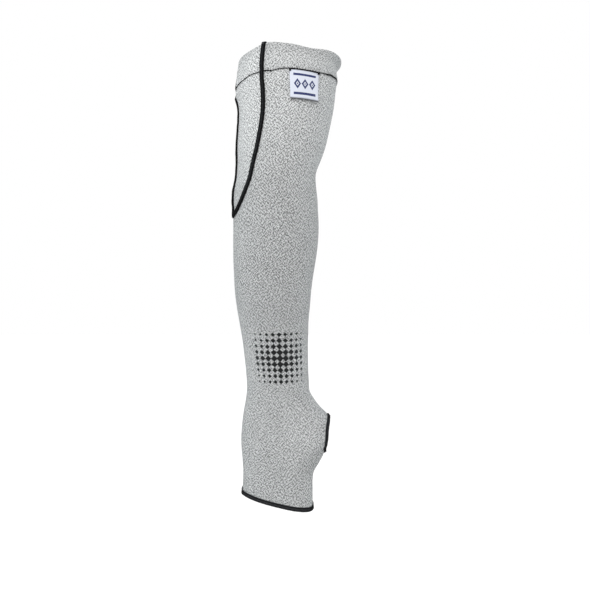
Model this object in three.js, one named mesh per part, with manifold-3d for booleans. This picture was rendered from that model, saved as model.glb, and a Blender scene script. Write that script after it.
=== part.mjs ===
// Knitted cut-resistant sleeve for a right arm, with a gusset at the upper arm and a hole for the thumb.
// Millimetres, +Z up. The sleeve keeps the form of the arm that fills it and hangs from its top band,
// whose centre is the origin. +X is the side of the thumb and -Y the side of the back of the hand.
import * as THREE from "three";
import Module from "manifold-3d";

const wasm = await Module();
wasm.setup();

// Driving dimensions of the arm inside the cloth, taken over the cloth.
const SLEEVE_LENGTH = 489; // hand hem to top edge, down the middle of the arm
const UPPER_ARM_WIDTH = 112;
const UPPER_ARM_DEPTH = 104;
const ELBOW_WIDTH = 87;
const ELBOW_DEPTH = 92;
const FOREARM_WIDTH = 93;
const FOREARM_DEPTH = 84;
const WRIST_WIDTH = 68;
const WRIST_DEPTH = 50;
const HAND_WIDTH = 79;
const HAND_DEPTH = 44;
const ARM_SWAY = 16; // how far the forearm stands to the side of the band's centre
const ARM_BOW = 34; // the bend of the arm, from front to back

// Cloth, trims and label.
const GAP = 0.3; // left between any two pieces
const CLOTH_WALL = 1.3;
const BAND_HEIGHT = 28;
const BAND_PUFF = 1; // how far the folded band stands out past the single cloth
const BAND_INNER_FOLD = 1.6; // the turned-in layer, inside the single cloth
const BAND_SWELL = 0.2; // the share of the band's height over which it comes to its full puff
const BAND_ROUNDING = 0.7; // how far the shoulder under the top fold is drawn in
const BAND_FLARE = 4.5; // how far the band's top corner on the thumb side is splayed
const BAND_DROOP = 4; // how far that corner hangs down
const GUSSET_LENGTH = 174; // tip to top edge
const GUSSET_WIDTH = 69; // at the top edge
const SEAM_WIDTH = 4.8;
const SEAM_HEIGHT = 2.1;
const BINDING_WIDTH = 4.6;
const BINDING_WALL = 1;
const THUMB_HOLE_HEIGHT = 35;
const THUMB_HOLE_UP = 77; // hand hem to the middle of the hole
const THUMB_REACH = 31; // how far the cloth is drawn out over the root of the thumb
const THUMB_SET_BACK = 5; // the root of the thumb lies towards the palm
const SPLAY_START = 0.2; // how far towards the thumb's side the splay of the band begins, 1 being all the way
const LABEL_WIDTH = 34;
const LABEL_HEIGHT = 31;
const LABEL_THICKNESS = 0.9; // a woven tape folded in two
const LABEL_LIFT = 0.8; // the free end stands off the cloth
const DENT_DEPTH = 2.5;
const LIFT_HEIGHT = 3.5; // the rises and dips of the edges and of the hem line

// Directions round the arm, in degrees: 0 is the thumb's side and 270 the back of the hand.
const GUSSET_SIDE = 190;
const LABEL_SIDE = 292;
const THUMB_HOLE_ARC = 40; // to each side of 0

const AROUND_STEPS = 36;
const HAND_ROWS = 15;
const ARM_ROWS = 20;
const HAND_SHARE = 0.27; // of the sleeve's length, with closer rows for the thumb
const SEAM_STEPS = 30;
const SEAM_STEP_POWER = 1.4; // over 1 sets the steps closer together at the gusset's tip
const HOLE_STEPS = 36;
const GUSSET_COLUMNS = 7;
const LABEL_COLUMNS = 7;
const LABEL_ROWS = 6;
const CUT_REACH = 8; // how far a cutting body reaches past the cloth's face, out and in
const EDGE_REACH = 1.04; // how far up the gusset's cut runs, past the top edge

// One row for each section from the hand hem up to the top edge; up is a share of SLEEVE_LENGTH.
// square is the power of the outline: 2 is an ellipse, and more is boxier.
const SECTIONS = [
  { up: 0, width: HAND_WIDTH, depth: 0.84 * HAND_DEPTH, square: 2.5 },
  { up: 0.06, width: 0.99 * HAND_WIDTH, depth: 0.93 * HAND_DEPTH, square: 2.5 },
  { up: 0.13, width: HAND_WIDTH, depth: 1.06 * HAND_DEPTH, square: 2.4 },
  { up: 0.19, width: 0.94 * HAND_WIDTH, depth: 1.09 * HAND_DEPTH, square: 2.3 },
  { up: 0.26, width: WRIST_WIDTH, depth: WRIST_DEPTH, square: 2.3 },
  { up: 0.36, width: 0.78 * FOREARM_WIDTH, depth: 0.76 * FOREARM_DEPTH, square: 2.2 },
  { up: 0.47, width: 0.91 * FOREARM_WIDTH, depth: 0.9 * FOREARM_DEPTH, square: 2.1 },
  { up: 0.6, width: FOREARM_WIDTH, depth: FOREARM_DEPTH, square: 2.1 },
  { up: 0.68, width: 0.985 * FOREARM_WIDTH, depth: 1.05 * FOREARM_DEPTH, square: 2.1 },
  { up: 0.735, width: ELBOW_WIDTH, depth: ELBOW_DEPTH, square: 2.1 },
  { up: 0.8, width: 0.866 * UPPER_ARM_WIDTH, depth: 0.94 * UPPER_ARM_DEPTH, square: 2 },
  { up: 0.88, width: 0.942 * UPPER_ARM_WIDTH, depth: UPPER_ARM_DEPTH, square: 2 },
  { up: 0.94, width: UPPER_ARM_WIDTH, depth: UPPER_ARM_DEPTH, square: 2.05 },
  { up: 1, width: 0.98 * UPPER_ARM_WIDTH, depth: 0.98 * UPPER_ARM_DEPTH, square: 2.1 },
];

// Where the middle of the arm runs. across and back are shares of ARM_SWAY and ARM_BOW, and lean and nod
// are how far a section rises for each millimetre towards the thumb and towards the palm.
const ARM_LINE = [
  { up: 0, across: -0.68, back: 0.82, lean: -0.24, nod: 0.4 },
  { up: 0.06, across: -0.73, back: 0.59, lean: -0.17, nod: 0.3 },
  { up: 0.13, across: -0.81, back: 0.35, lean: -0.08, nod: 0.24 },
  { up: 0.19, across: -0.82, back: 0.18, lean: -0.03, nod: 0.2 },
  { up: 0.26, across: -0.72, back: 0, lean: 0, nod: 0.16 },
  { up: 0.36, across: -0.86, back: -0.24, lean: 0, nod: 0.14 },
  { up: 0.47, across: -0.99, back: -0.47, lean: 0, nod: 0.13 },
  { up: 0.6, across: -0.84, back: -0.69, lean: 0, nod: 0.08 },
  { up: 0.68, across: -0.85, back: -0.72, lean: 0, nod: 0 },
  { up: 0.735, across: -0.82, back: -0.65, lean: 0.01, nod: -0.08 },
  { up: 0.8, across: -0.46, back: -0.49, lean: 0.02, nod: -0.15 },
  { up: 0.88, across: -0.17, back: -0.25, lean: 0.05, nod: -0.21 },
  { up: 0.94, across: -0.1, back: -0.07, lean: 0.06, nod: -0.235 },
  { up: 1, across: 0.04, back: 0.12, lean: 0.04, nod: -0.245 },
];

// The cloth drawn out over the root of the thumb. along runs up from the middle of the hole in shares of
// its height, and reach is a share of THUMB_REACH.
const THUMB_POUCH = [
  { along: -1.4, reach: 0 },
  { along: -1.1, reach: 0.06 },
  { along: -0.85, reach: 0.24 },
  { along: -0.65, reach: 0.38 },
  { along: -0.5, reach: 0.48 },
  { along: 0, reach: 1 },
  { along: 0.5, reach: 0.66 },
  { along: 0.8, reach: 0.34 },
  { along: 1.05, reach: 0.2 },
  { along: 1.35, reach: 0.04 },
  { along: 1.7, reach: 0 },
];

// The gusset's two edges, from its tip up. up is a share of GUSSET_LENGTH, and front and back are how far
// each edge lies from the line through the tip, in shares of GUSSET_WIDTH.
const GUSSET_EDGES = [
  { up: 0, front: 0, back: 0 },
  { up: 0.03, front: 0.17, back: 0.005 },
  { up: 0.1, front: 0.34, back: 0.02 },
  { up: 0.19, front: 0.46, back: 0.035 },
  { up: 0.33, front: 0.55, back: 0.055 },
  { up: 0.47, front: 0.64, back: 0.095 },
  { up: 0.61, front: 0.7, back: 0.135 },
  { up: 0.78, front: 0.71, back: 0.15 },
  { up: 0.86, front: 0.705, back: 0.22 },
  { up: 1, front: 0.69, back: 0.3 },
];

// Soft dents and swells of the cloth. around is in degrees, deep is a share of DENT_DEPTH and negative for
// a swell, tall is a share of SLEEVE_LENGTH and wide is in degrees.
const DENTS = [
  { up: 0.775, around: 285, deep: 0.7, tall: 0.022, wide: 34 },
  { up: 0.71, around: 262, deep: -0.7, tall: 0.06, wide: 34 },
  { up: 0.06, around: 318, deep: 0.8, tall: 0.03, wide: 16 },
  { up: 0.045, around: 262, deep: 0.45, tall: 0.022, wide: 22 },
  { up: 0.27, around: 270, deep: 0.35, tall: 0.02, wide: 45 },
  { up: 0.74, around: 95, deep: 1, tall: 0.022, wide: 50 },
  { up: 0.968, around: 355, deep: 1.2, tall: 0.014, wide: 30 },
  { up: 0.925, around: 0, deep: 0.45, tall: 0.03, wide: 34 },
  { up: 0.885, around: 180, deep: 0.5, tall: 0.055, wide: 28 },
  { up: 0.5, around: 0, deep: 0.5, tall: 0.05, wide: 40 },
];

// Where the cloth is drawn up or hangs down. rise is a share of LIFT_HEIGHT, and the other columns are as
// in DENTS.
const LIFTS = [
  { up: 0, around: 182, rise: -0.85, tall: 0.03, wide: 22 },
  { up: 0.943, around: 308, rise: -0.85, tall: 0.03, wide: 26 },
  { up: 0.943, around: 195, rise: -0.8, tall: 0.03, wide: 22 },
  { up: 1, around: 246, rise: 1, tall: 0.035, wide: 17 },
  { up: 1, around: 294, rise: -1.05, tall: 0.035, wide: 17 },
];

const { clamp, degToRad, lerp, smoothstep } = THREE.MathUtils;

// A smooth curve through one column of a table. The slope at a row is that of the line between its
// neighbours, and past the first and last rows the curve runs on straight.
function throughRows(rows, position, column) {
  const xs = rows.map((row) => row[position]);
  const ys = rows.map((row) => row[column]);
  const last = rows.length - 1;
  const slope = (i) => {
    const before = Math.max(0, i - 1);
    const after = Math.min(last, i + 1);
    return (ys[after] - ys[before]) / (xs[after] - xs[before]);
  };
  return (x) => {
    if (x <= xs[0]) return ys[0] + slope(0) * (x - xs[0]);
    if (x >= xs[last]) return ys[last] + slope(last) * (x - xs[last]);
    const i = xs.findIndex((end) => x < end) - 1;
    const span = xs[i + 1] - xs[i];
    const t = (x - xs[i]) / span;
    const rise = t * t * (3 - 2 * t);
    return (
      ys[i] * (1 - rise) +
      ys[i + 1] * rise +
      span * (slope(i) * t * (1 - t) ** 2 - slope(i + 1) * t * t * (1 - t))
    );
  };
}

// A curve for each column of a table but up, by the column's name.
function columnCurves(rows) {
  const columns = Object.keys(rows[0]).filter((column) => column !== "up");
  return Object.fromEntries(columns.map((column) => [column, throughRows(rows, "up", column)]));
}

const section = { ...columnCurves(SECTIONS), ...columnCurves(ARM_LINE) };
const pouch = throughRows(THUMB_POUCH, "along", "reach");
const gussetFront = throughRows(GUSSET_EDGES, "up", "front");
const gussetBack = throughRows(GUSSET_EDGES, "up", "back");

const HEM_LINE = 1 - BAND_HEIGHT / SLEEVE_LENGTH;
const GUSSET_TIP = 1 - GUSSET_LENGTH / SLEEVE_LENGTH;
const THUMB_HOLE = THUMB_HOLE_UP / SLEEVE_LENGTH;

// How far the cloth is drawn out over the thumb at a height, in millimetres.
function thumbReach(up) {
  const along = ((up - THUMB_HOLE) * SLEEVE_LENGTH) / THUMB_HOLE_HEIGHT;
  const ends = [THUMB_POUCH[0].along, THUMB_POUCH.at(-1).along];
  return along > ends[0] && along < ends[1] ? THUMB_REACH * pouch(along) : 0;
}

// The sum of one column of a table of soft bumps at a place, each row fading to its sides and up and down.
function bumps(rows, column, around, up) {
  return rows.reduce((sum, row) => {
    const turn = Math.cos(around - degToRad(row.around));
    const aside = (1 - turn) / (1 - Math.cos(degToRad(row.wide)));
    const above = ((up - row.up) / row.tall) ** 2;
    return sum + row[column] * Math.exp(-aside - above);
  }, 0);
}

// The cloth's outer face, at an angle round the arm in radians and a share of the way up.
function clothPoint(around, up) {
  const c = Math.cos(around);
  const s = Math.sin(around);
  const power = section.square(up);
  const fill = (Math.abs(c) ** power + Math.abs(s) ** power) ** (-1 / power);
  const towardsThumb = smoothstep(c, 0, 1) * thumbReach(up);
  const splayed = smoothstep(c, SPLAY_START, 1) * smoothstep(up, HEM_LINE, 1) ** 2;
  const local = new THREE.Vector2((section.width(up) / 2) * c * fill, (section.depth(up) / 2) * s * fill);
  local.setLength(local.length() - DENT_DEPTH * bumps(DENTS, "deep", around, up));
  local.x += towardsThumb + splayed * BAND_FLARE;
  local.y += (towardsThumb / THUMB_REACH) * THUMB_SET_BACK;
  const tilt = local.x * section.lean(up) + local.y * section.nod(up);
  const rise = tilt - splayed * BAND_DROOP + LIFT_HEIGHT * bumps(LIFTS, "rise", around, up);
  return new THREE.Vector3(
    section.across(up) * ARM_SWAY + local.x,
    section.back(up) * ARM_BOW + local.y,
    (up - 1) * SLEEVE_LENGTH + BAND_HEIGHT / 2 + rise,
  );
}

// The cloth's point, its two directions and its outward normal at a place { around, up }.
function clothFrame({ around, up }) {
  const step = 1e-3;
  const point = clothPoint(around, up);
  const round = clothPoint(around + step, up).sub(clothPoint(around - step, up)).divideScalar(2 * step);
  const upward = clothPoint(around, up + step).sub(clothPoint(around, up - step)).divideScalar(2 * step);
  const normal = new THREE.Vector3().crossVectors(round, upward).normalize();
  return { point, round, upward, normal };
}

// The point that stands out from the cloth's outer face, or lies inside it where out is negative.
function offCloth(place, out) {
  const { point, normal } = clothFrame(place);
  return point.addScaledVector(normal, out);
}

// The place reached by going a distance over the cloth in a direction.
function slide(place, direction, distance) {
  const { round, upward } = clothFrame(place);
  const [rr, ru, uu] = [round.dot(round), round.dot(upward), upward.dot(upward)];
  const [dr, du] = [direction.dot(round), direction.dot(upward)];
  const share = distance / (rr * uu - ru * ru);
  return {
    around: place.around + share * (dr * uu - du * ru),
    up: place.up + share * (du * rr - dr * ru),
  };
}

// How far the visible face of the cloth stands out at a height: the folded band is thicker than the sleeve.
function faceOut(up) {
  const inBand = (up - HEM_LINE) / (1 - HEM_LINE);
  return BAND_PUFF * smoothstep(inBand, 0, BAND_SWELL);
}

// A closed body through a list of outlines. Where it isn't a loop, its ends are closed by joining the first
// half of the outline to the second.
function bodyThrough(outlines, loop) {
  const size = outlines[0].length;
  const positions = outlines.flat().flatMap((point) => point.toArray());
  const indices = [];
  const quad = (a, b, c, d) => indices.push(a, b, c, a, c, d);
  const runs = loop ? outlines.length : outlines.length - 1;
  for (let i = 0; i < runs; i += 1) {
    const here = i * size;
    const there = ((i + 1) % outlines.length) * size;
    for (let j = 0; j < size; j += 1) {
      const next = (j + 1) % size;
      quad(here + j, there + j, there + next, here + next);
    }
  }
  if (!loop) {
    const end = (outlines.length - 1) * size;
    for (let j = 0; j < size / 2 - 1; j += 1) {
      quad(j, j + 1, size - 2 - j, size - 1 - j);
      quad(end + size - 1 - j, end + size - 2 - j, end + j + 1, end + j);
    }
  }
  return new THREE.BufferGeometry()
    .setAttribute("position", new THREE.Float32BufferAttribute(positions, 3))
    .setIndex(indices);
}

function toSolid(geometry) {
  return new wasm.Manifold(
    new wasm.Mesh({
      numProp: 3,
      vertProperties: new Float32Array(geometry.attributes.position.array),
      triVerts: new Uint32Array(geometry.index.array),
    }),
  );
}

function toGeometry(solid) {
  const mesh = solid.getMesh();
  return new THREE.BufferGeometry()
    .setAttribute("position", new THREE.BufferAttribute(mesh.vertProperties, 3))
    .setIndex(new THREE.BufferAttribute(mesh.triVerts, 1));
}

const spread = (count, make) => Array.from({ length: count }, (_, i) => make(i));

// A ring round the arm whose profile is a list of { up, out } corners: up the outer face, down the inner.
function ringBody(profile) {
  const outlines = spread(AROUND_STEPS, (i) => {
    const around = (i / AROUND_STEPS) * 2 * Math.PI;
    return profile.map((corner) => offCloth({ around, up: corner.up }, corner.out));
  });
  return toSolid(bodyThrough(outlines, true));
}

// A body along a path of places on the cloth. Its section is a list of { across, out } corners: across lies
// to the left of the path as seen from outside, and out stands off the visible face.
function pathBody(places, corners, loop) {
  const last = places.length - 1;
  const neighbour = (i) => places[loop ? (i + places.length) % places.length : clamp(i, 0, last)];
  const outlines = places.map((place, i) => {
    const before = clothFrame(neighbour(i - 1)).point;
    const after = clothFrame(neighbour(i + 1)).point;
    const side = new THREE.Vector3().crossVectors(clothFrame(place).normal, after.sub(before)).normalize();
    return corners.map(({ across, out }) => {
      const spot = slide(place, side, across);
      return offCloth(spot, faceOut(spot.up) + out);
    });
  });
  return toSolid(bodyThrough(outlines, loop));
}

// The heights of the knit tube's rows, closer together at the hand.
const clothRows = [
  ...spread(HAND_ROWS, (i) => (HAND_SHARE * i) / HAND_ROWS),
  ...spread(ARM_ROWS, (i) => lerp(HAND_SHARE, HEM_LINE - GAP / SLEEVE_LENGTH, i / (ARM_ROWS - 1))),
];

// The knit tube's wall, grown on both faces and at both ends by a clearance.
function clothWall(clearance) {
  const beyond = clearance / SLEEVE_LENGTH;
  const rows = [clothRows[0] - beyond, ...clothRows.slice(1, -1), clothRows.at(-1) + beyond];
  return ringBody([
    ...rows.map((up) => ({ up, out: clearance })),
    ...rows.map((up) => ({ up, out: -CLOTH_WALL - clearance })).reverse(),
  ]);
}

// The folded band's rows, as shares of its height: side is its outer or inner face, and drawn is the share
// of BAND_ROUNDING by which the row is drawn in.
const BAND_ROWS = [
  { side: "outer", up: 0, drawn: 0 },
  { side: "outer", up: BAND_SWELL, drawn: 0 },
  { side: "outer", up: 0.55, drawn: 0 },
  { side: "outer", up: 0.9, drawn: 0 },
  { side: "outer", up: 0.98, drawn: 1 },
  { side: "fold", up: 1, drawn: 0 },
  { side: "inner", up: 0.97, drawn: 0 },
  { side: "inner", up: 0.5, drawn: 0 },
  { side: "inner", up: 0, drawn: 0 },
];

// The folded band: its outer face puffs out over the hem line and its top is a round fold.
function bandWall(clearance) {
  const inner = -CLOTH_WALL - BAND_INNER_FOLD - clearance;
  const profile = BAND_ROWS.map((row) => {
    const up = lerp(HEM_LINE, 1, row.up);
    if (row.side === "inner") return { up, out: inner };
    if (row.side === "fold") return { up: up + clearance / SLEEVE_LENGTH, out: (inner + BAND_PUFF) / 2 };
    return { up, out: faceOut(up) + clearance - row.drawn * BAND_ROUNDING };
  });
  return ringBody(profile);
}

// The angle of one edge of the gusset at a share of its height, moved outwards by a distance.
function gussetEdge(share, distance, edge, turn) {
  const up = lerp(GUSSET_TIP, 1, share);
  const radius = (section.width(up) + section.depth(up)) / 4;
  return degToRad(GUSSET_SIDE) + (turn * (edge(share) * GUSSET_WIDTH + distance)) / radius;
}

const frontEdge = (share, distance = 0) => gussetEdge(share, distance, gussetFront, 1);
const backEdge = (share, distance = 0) => gussetEdge(share, distance, gussetBack, -1);

// Shares of the gusset's height from its tip to a little past the top edge.
const gussetShares = spread(SEAM_STEPS + 1, (i) => EDGE_REACH * (i / SEAM_STEPS) ** SEAM_STEP_POWER);

// A wedge through the wall in the outline of the gusset, widened by a distance on each edge.
function gussetWedge(widened) {
  const shares = widened < 0 ? gussetShares.slice(1) : gussetShares;
  const outlines = shares.map((share) => {
    const up = lerp(GUSSET_TIP, 1, share);
    const angle = (j) => lerp(frontEdge(share, widened), backEdge(share, widened), j / (GUSSET_COLUMNS - 1));
    const face = (out) => spread(GUSSET_COLUMNS, (j) => offCloth({ around: angle(j), up }, out));
    return [...face(CUT_REACH), ...face(-CUT_REACH).reverse()];
  });
  return toSolid(bodyThrough(outlines, false));
}

// A place on the rim of the thumb hole, or nearer its middle where size is under 1. It runs clockwise.
function holePlace(i, size = 1) {
  const angle = (-i / HOLE_STEPS) * 2 * Math.PI;
  return {
    around: size * degToRad(THUMB_HOLE_ARC) * Math.cos(angle),
    up: THUMB_HOLE + (size * THUMB_HOLE_HEIGHT * Math.sin(angle)) / 2 / SLEEVE_LENGTH,
  };
}

// A plug through the wall in the outline of the thumb hole, smaller by a clearance.
function holePlug(clearance) {
  const full = 1 - (2 * clearance) / THUMB_HOLE_HEIGHT;
  const sizes = [0.05, 0.55, full];
  const stages = [
    ...sizes.map((size) => ({ size, out: -CUT_REACH })),
    ...sizes.reverse().map((size) => ({ size, out: CUT_REACH })),
  ];
  const outlines = stages.map(({ size, out }) =>
    spread(HOLE_STEPS, (i) => offCloth(holePlace(i, size), out)),
  );
  return toSolid(bodyThrough(outlines, false));
}

// The binding's section before the cloth is cut out of it: a bar that wraps the cut edge.
function bindingSection() {
  const far = BINDING_WIDTH - BINDING_WALL;
  const outer = GAP + BINDING_WALL;
  return [
    { across: far, out: -CLOTH_WALL - outer },
    { across: 0, out: -CLOTH_WALL - outer },
    { across: -outer, out: -CLOTH_WALL },
    { across: -outer, out: 0 },
    { across: 0, out: outer },
    { across: far, out: outer },
  ];
}

// The overlocked ridge that joins the gusset to the sleeve: both arms of the V, turned over the top edge.
function gussetSeam() {
  const half = SEAM_WIDTH / 2;
  const crown = half / 2; // half of the ridge's flat top
  const flank = SEAM_HEIGHT / 2; // how high its sides stand
  const inside = -CLOTH_WALL - BAND_INNER_FOLD - BAND_PUFF;
  const ridge = [
    { across: -half, out: flank },
    { across: -crown, out: SEAM_HEIGHT },
    { across: crown, out: SEAM_HEIGHT },
    { across: half, out: flank },
    { across: half, out: GAP },
    { across: crown, out: GAP },
    { across: -crown, out: GAP },
    { across: -half, out: GAP },
  ];
  const overEdge = [
    { across: -half, out: flank },
    { across: 0, out: SEAM_HEIGHT },
    { across: half, out: flank },
    { across: half, out: inside },
    { across: 0, out: inside - GAP },
    { across: -half, out: inside },
  ];
  const arms = [frontEdge, backEdge].map((edge) => {
    const place = (share) => ({ around: edge(share), up: lerp(GUSSET_TIP, 1, share) });
    const top = 1 + GAP / GUSSET_LENGTH;
    const arm = pathBody(spread(SEAM_STEPS + 1, (i) => place((i / SEAM_STEPS) * top)), ridge, false);
    const turn = pathBody([place(top), place(top + SEAM_HEIGHT / GUSSET_LENGTH)], overEdge, false);
    return arm.add(turn);
  });
  return arms[0].add(arms[1]);
}

// The label hangs from the hem line, its free end a little off the cloth.
function labelBody() {
  const top = HEM_LINE - GAP / SLEEVE_LENGTH;
  const centre = { around: degToRad(LABEL_SIDE), up: top - LABEL_HEIGHT / 2 / SLEEVE_LENGTH };
  const turn = LABEL_WIDTH / clothFrame(centre).round.length();
  const outlines = spread(LABEL_ROWS, (i) => {
    const down = 1 - i / (LABEL_ROWS - 1);
    const up = top - (down * LABEL_HEIGHT) / SLEEVE_LENGTH;
    const angle = (j) => centre.around + turn * (0.5 - j / (LABEL_COLUMNS - 1));
    const face = (out) =>
      spread(LABEL_COLUMNS, (j) => offCloth({ around: angle(j), up }, out + LABEL_LIFT * down ** 2));
    return [...face(GAP + LABEL_THICKNESS), ...face(GAP).reverse()];
  });
  return toSolid(bodyThrough(outlines, false));
}

const knit = new THREE.MeshStandardMaterial({ color: 0xb9bdbd, roughness: 0.95, metalness: 0 });
const gussetKnit = new THREE.MeshStandardMaterial({ color: 0xc6c9ca, roughness: 0.95, metalness: 0 });
const blackThread = new THREE.MeshStandardMaterial({ color: 0x14161a, roughness: 0.75, metalness: 0 });
const wovenTape = new THREE.MeshStandardMaterial({ color: 0xe9ecf4, roughness: 0.8, metalness: 0 });

const sleeve = new THREE.Group();

function addPiece(name, solid, material) {
  const mesh = new THREE.Mesh(toGeometry(solid), material);
  mesh.name = name;
  sleeve.add(mesh);
}

const gussetNotch = gussetWedge(GAP / 2);
const gussetInside = gussetWedge(-GAP / 2);
const clearance = clothWall(GAP).subtract(holePlug(GAP)).add(bandWall(GAP));
const rim = spread(AROUND_STEPS, (i) => ({ around: (i / AROUND_STEPS) * 2 * Math.PI, up: 0 }));
const thumbRim = spread(HOLE_STEPS, (i) => holePlace(i));

addPiece("sleeve_body", clothWall(0).subtract(gussetNotch).subtract(holePlug(0)), knit);
addPiece("gusset", clothWall(0).intersect(gussetInside), gussetKnit);
addPiece("hem_band", bandWall(0).subtract(gussetNotch), knit);
addPiece("gusset_hem_band", bandWall(0).intersect(gussetInside), gussetKnit);
addPiece("gusset_seam", gussetSeam().subtract(clearance), blackThread);
addPiece("hand_binding", pathBody(rim, bindingSection(), true).subtract(clearance), blackThread);
addPiece("thumb_binding", pathBody(thumbRim, bindingSection(), true).subtract(clearance), blackThread);
addPiece("label", labelBody(), wovenTape);

export default sleeve;
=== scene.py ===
"""Dresses a knitted cut-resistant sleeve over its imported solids.

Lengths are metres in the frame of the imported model: +Z runs up the arm, +X to the thumb's side and -Y to
the back of the hand. A place on the cloth is an angle round the arm in radians and a share of the way up.
"""

import logging
import math
from collections.abc import Callable, Sequence
from dataclasses import dataclass, fields
from enum import Enum

import bpy
import numpy as np
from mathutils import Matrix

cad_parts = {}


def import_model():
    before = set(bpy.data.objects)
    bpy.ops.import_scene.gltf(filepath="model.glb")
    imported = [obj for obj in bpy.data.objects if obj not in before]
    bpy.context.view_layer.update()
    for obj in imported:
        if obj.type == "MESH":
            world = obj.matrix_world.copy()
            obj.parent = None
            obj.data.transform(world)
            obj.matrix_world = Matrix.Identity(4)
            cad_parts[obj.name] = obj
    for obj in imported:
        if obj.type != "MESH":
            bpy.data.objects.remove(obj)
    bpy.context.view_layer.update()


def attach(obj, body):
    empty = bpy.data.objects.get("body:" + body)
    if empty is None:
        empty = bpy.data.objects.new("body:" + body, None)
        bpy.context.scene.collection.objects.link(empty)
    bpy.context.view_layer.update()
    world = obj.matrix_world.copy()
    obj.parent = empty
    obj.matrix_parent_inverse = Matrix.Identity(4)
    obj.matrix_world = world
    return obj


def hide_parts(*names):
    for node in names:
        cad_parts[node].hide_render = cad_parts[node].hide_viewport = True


LOG = logging.getLogger("sleeve")
MM = 0.001
TURN = 2 * math.pi
BODY = "root"

Array = np.ndarray
Material = bpy.types.Material
Piece = bpy.types.Object


class Slot(Enum):
    """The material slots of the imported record."""

    KNIT = "heather_knit"
    GUSSET = "gusset_knit"
    THREAD = "black_thread"
    TAPE = "woven_tape"


class Held(Enum):
    """How a sheet of cloth is held."""

    STRETCHED = "stretched"
    FOLDED = "folded"


class Layer(Enum):
    """The coordinate maps that a cloth mesh carries."""

    STITCH = "stitch"
    PLACE = "place"
    GIRTH = "girth"


@dataclass(frozen=True)
class Section:
    """One cross-section of the sleeve.

    across and back are shares of the arm's sway and bow, lean and nod are the rise for each metre towards
    the thumb and towards the palm, and square is the power of the outline.
    """

    up: float
    width: float
    depth: float
    across: float
    back: float
    lean: float
    nod: float
    square: float


@dataclass(frozen=True)
class PouchRow:
    """How far the cloth is drawn out over the thumb's root: along is a share of the hole's height."""

    along: float
    reach: float


@dataclass(frozen=True)
class EdgeRow:
    """How far the gusset's two edges lie from the line through its tip, as shares of its width."""

    up: float
    front: float
    back: float


@dataclass(frozen=True)
class Bump:
    """A soft bump that fades to its sides and up and down.

    size is a share of a dent's depth or of an edge's lift, tall is a share of the sleeve's length, and
    around and wide are degrees.
    """

    up: float
    around: float
    size: float
    tall: float
    wide: float


@dataclass(frozen=True)
class Fold:
    """A crease in the cloth.

    around and wide are degrees, tall is metres across the crease, slant is how far it climbs for each
    metre round the arm, and deep is metres.
    """

    up: float
    around: float
    wide: float
    tall: float
    slant: float
    deep: float


def smoothstep(x: Array, low: float, high: float) -> Array:
    """Rises smoothly from 0 at low to 1 at high."""
    t = np.clip((x - low) / (high - low), 0, 1)
    return t * t * (3 - 2 * t)


def through_rows(rows: Sequence, position: str, column: str) -> Callable[[Array], Array]:
    """Makes a smooth curve through one column of a table.

    Args:
        rows: The table, in rising order of position.
        position: The name of the column that the curve runs along.
        column: The name of the column that it gives.

    Returns:
        A function of position that runs on straight past the first and last rows.
    """
    xs = np.array([getattr(row, position) for row in rows])
    ys = np.array([getattr(row, column) for row in rows])
    before = np.maximum(np.arange(len(rows)) - 1, 0)
    after = np.minimum(np.arange(len(rows)) + 1, len(rows) - 1)
    slope = (ys[after] - ys[before]) / (xs[after] - xs[before])

    def curve(x: Array) -> Array:
        """Gives the column's value at x."""
        x = np.asarray(x, float)
        i = np.clip(np.searchsorted(xs, x, side="right") - 1, 0, len(rows) - 2)
        span = xs[i + 1] - xs[i]
        t = (x - xs[i]) / span
        rise = t * t * (3 - 2 * t)
        bend = slope[i] * t * (1 - t) ** 2 - slope[i + 1] * t * t * (1 - t)
        inside = ys[i] * (1 - rise) + ys[i + 1] * rise + span * bend
        low = ys[0] + slope[0] * (x - xs[0])
        high = ys[-1] + slope[-1] * (x - xs[-1])
        return np.where(x <= xs[0], low, np.where(x >= xs[-1], high, inside))

    return curve


def sum_of(bumps: Sequence[Bump], around: Array, up: Array) -> Array:
    """Adds up soft bumps.

    Args:
        bumps: The table of bumps.
        around: Angles round the arm.
        up: Shares of the way up.

    Returns:
        The sum of their sizes at each place.
    """
    total = np.zeros(np.broadcast(around, up).shape)
    for bump in bumps:
        aside = (1 - np.cos(around - math.radians(bump.around))) / (1 - math.cos(math.radians(bump.wide)))
        total = total + bump.size * np.exp(-aside - ((up - bump.up) / bump.tall) ** 2)
    return total


def soft_noise(x: Array, y: Array, columns: int, rows: int, seed: int) -> Array:
    """Gives smooth noise from -1 to 1 on a grid that closes on itself along x.

    Args:
        x: Places across the grid, where 0 and 1 are one place.
        y: Places up the grid, from 0 to 1.
        columns: How many cells the grid has across.
        rows: How many cells it has up.
        seed: The seed of its random values.

    Returns:
        The noise at each place.
    """
    values = np.random.default_rng(seed).uniform(-1, 1, (rows + 2, columns))
    gx = (np.asarray(x) % 1) * columns
    gy = np.clip(y, 0, 1) * rows
    column = np.floor(gx).astype(int) % columns
    row = np.floor(gy).astype(int)
    tx = smoothstep(gx - np.floor(gx), 0, 1)
    ty = smoothstep(gy - row, 0, 1)
    right = (column + 1) % columns
    low = values[row, column] * (1 - tx) + values[row, right] * tx
    high = values[row + 1, column] * (1 - tx) + values[row + 1, right] * tx
    return low * (1 - ty) + high * ty


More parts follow.
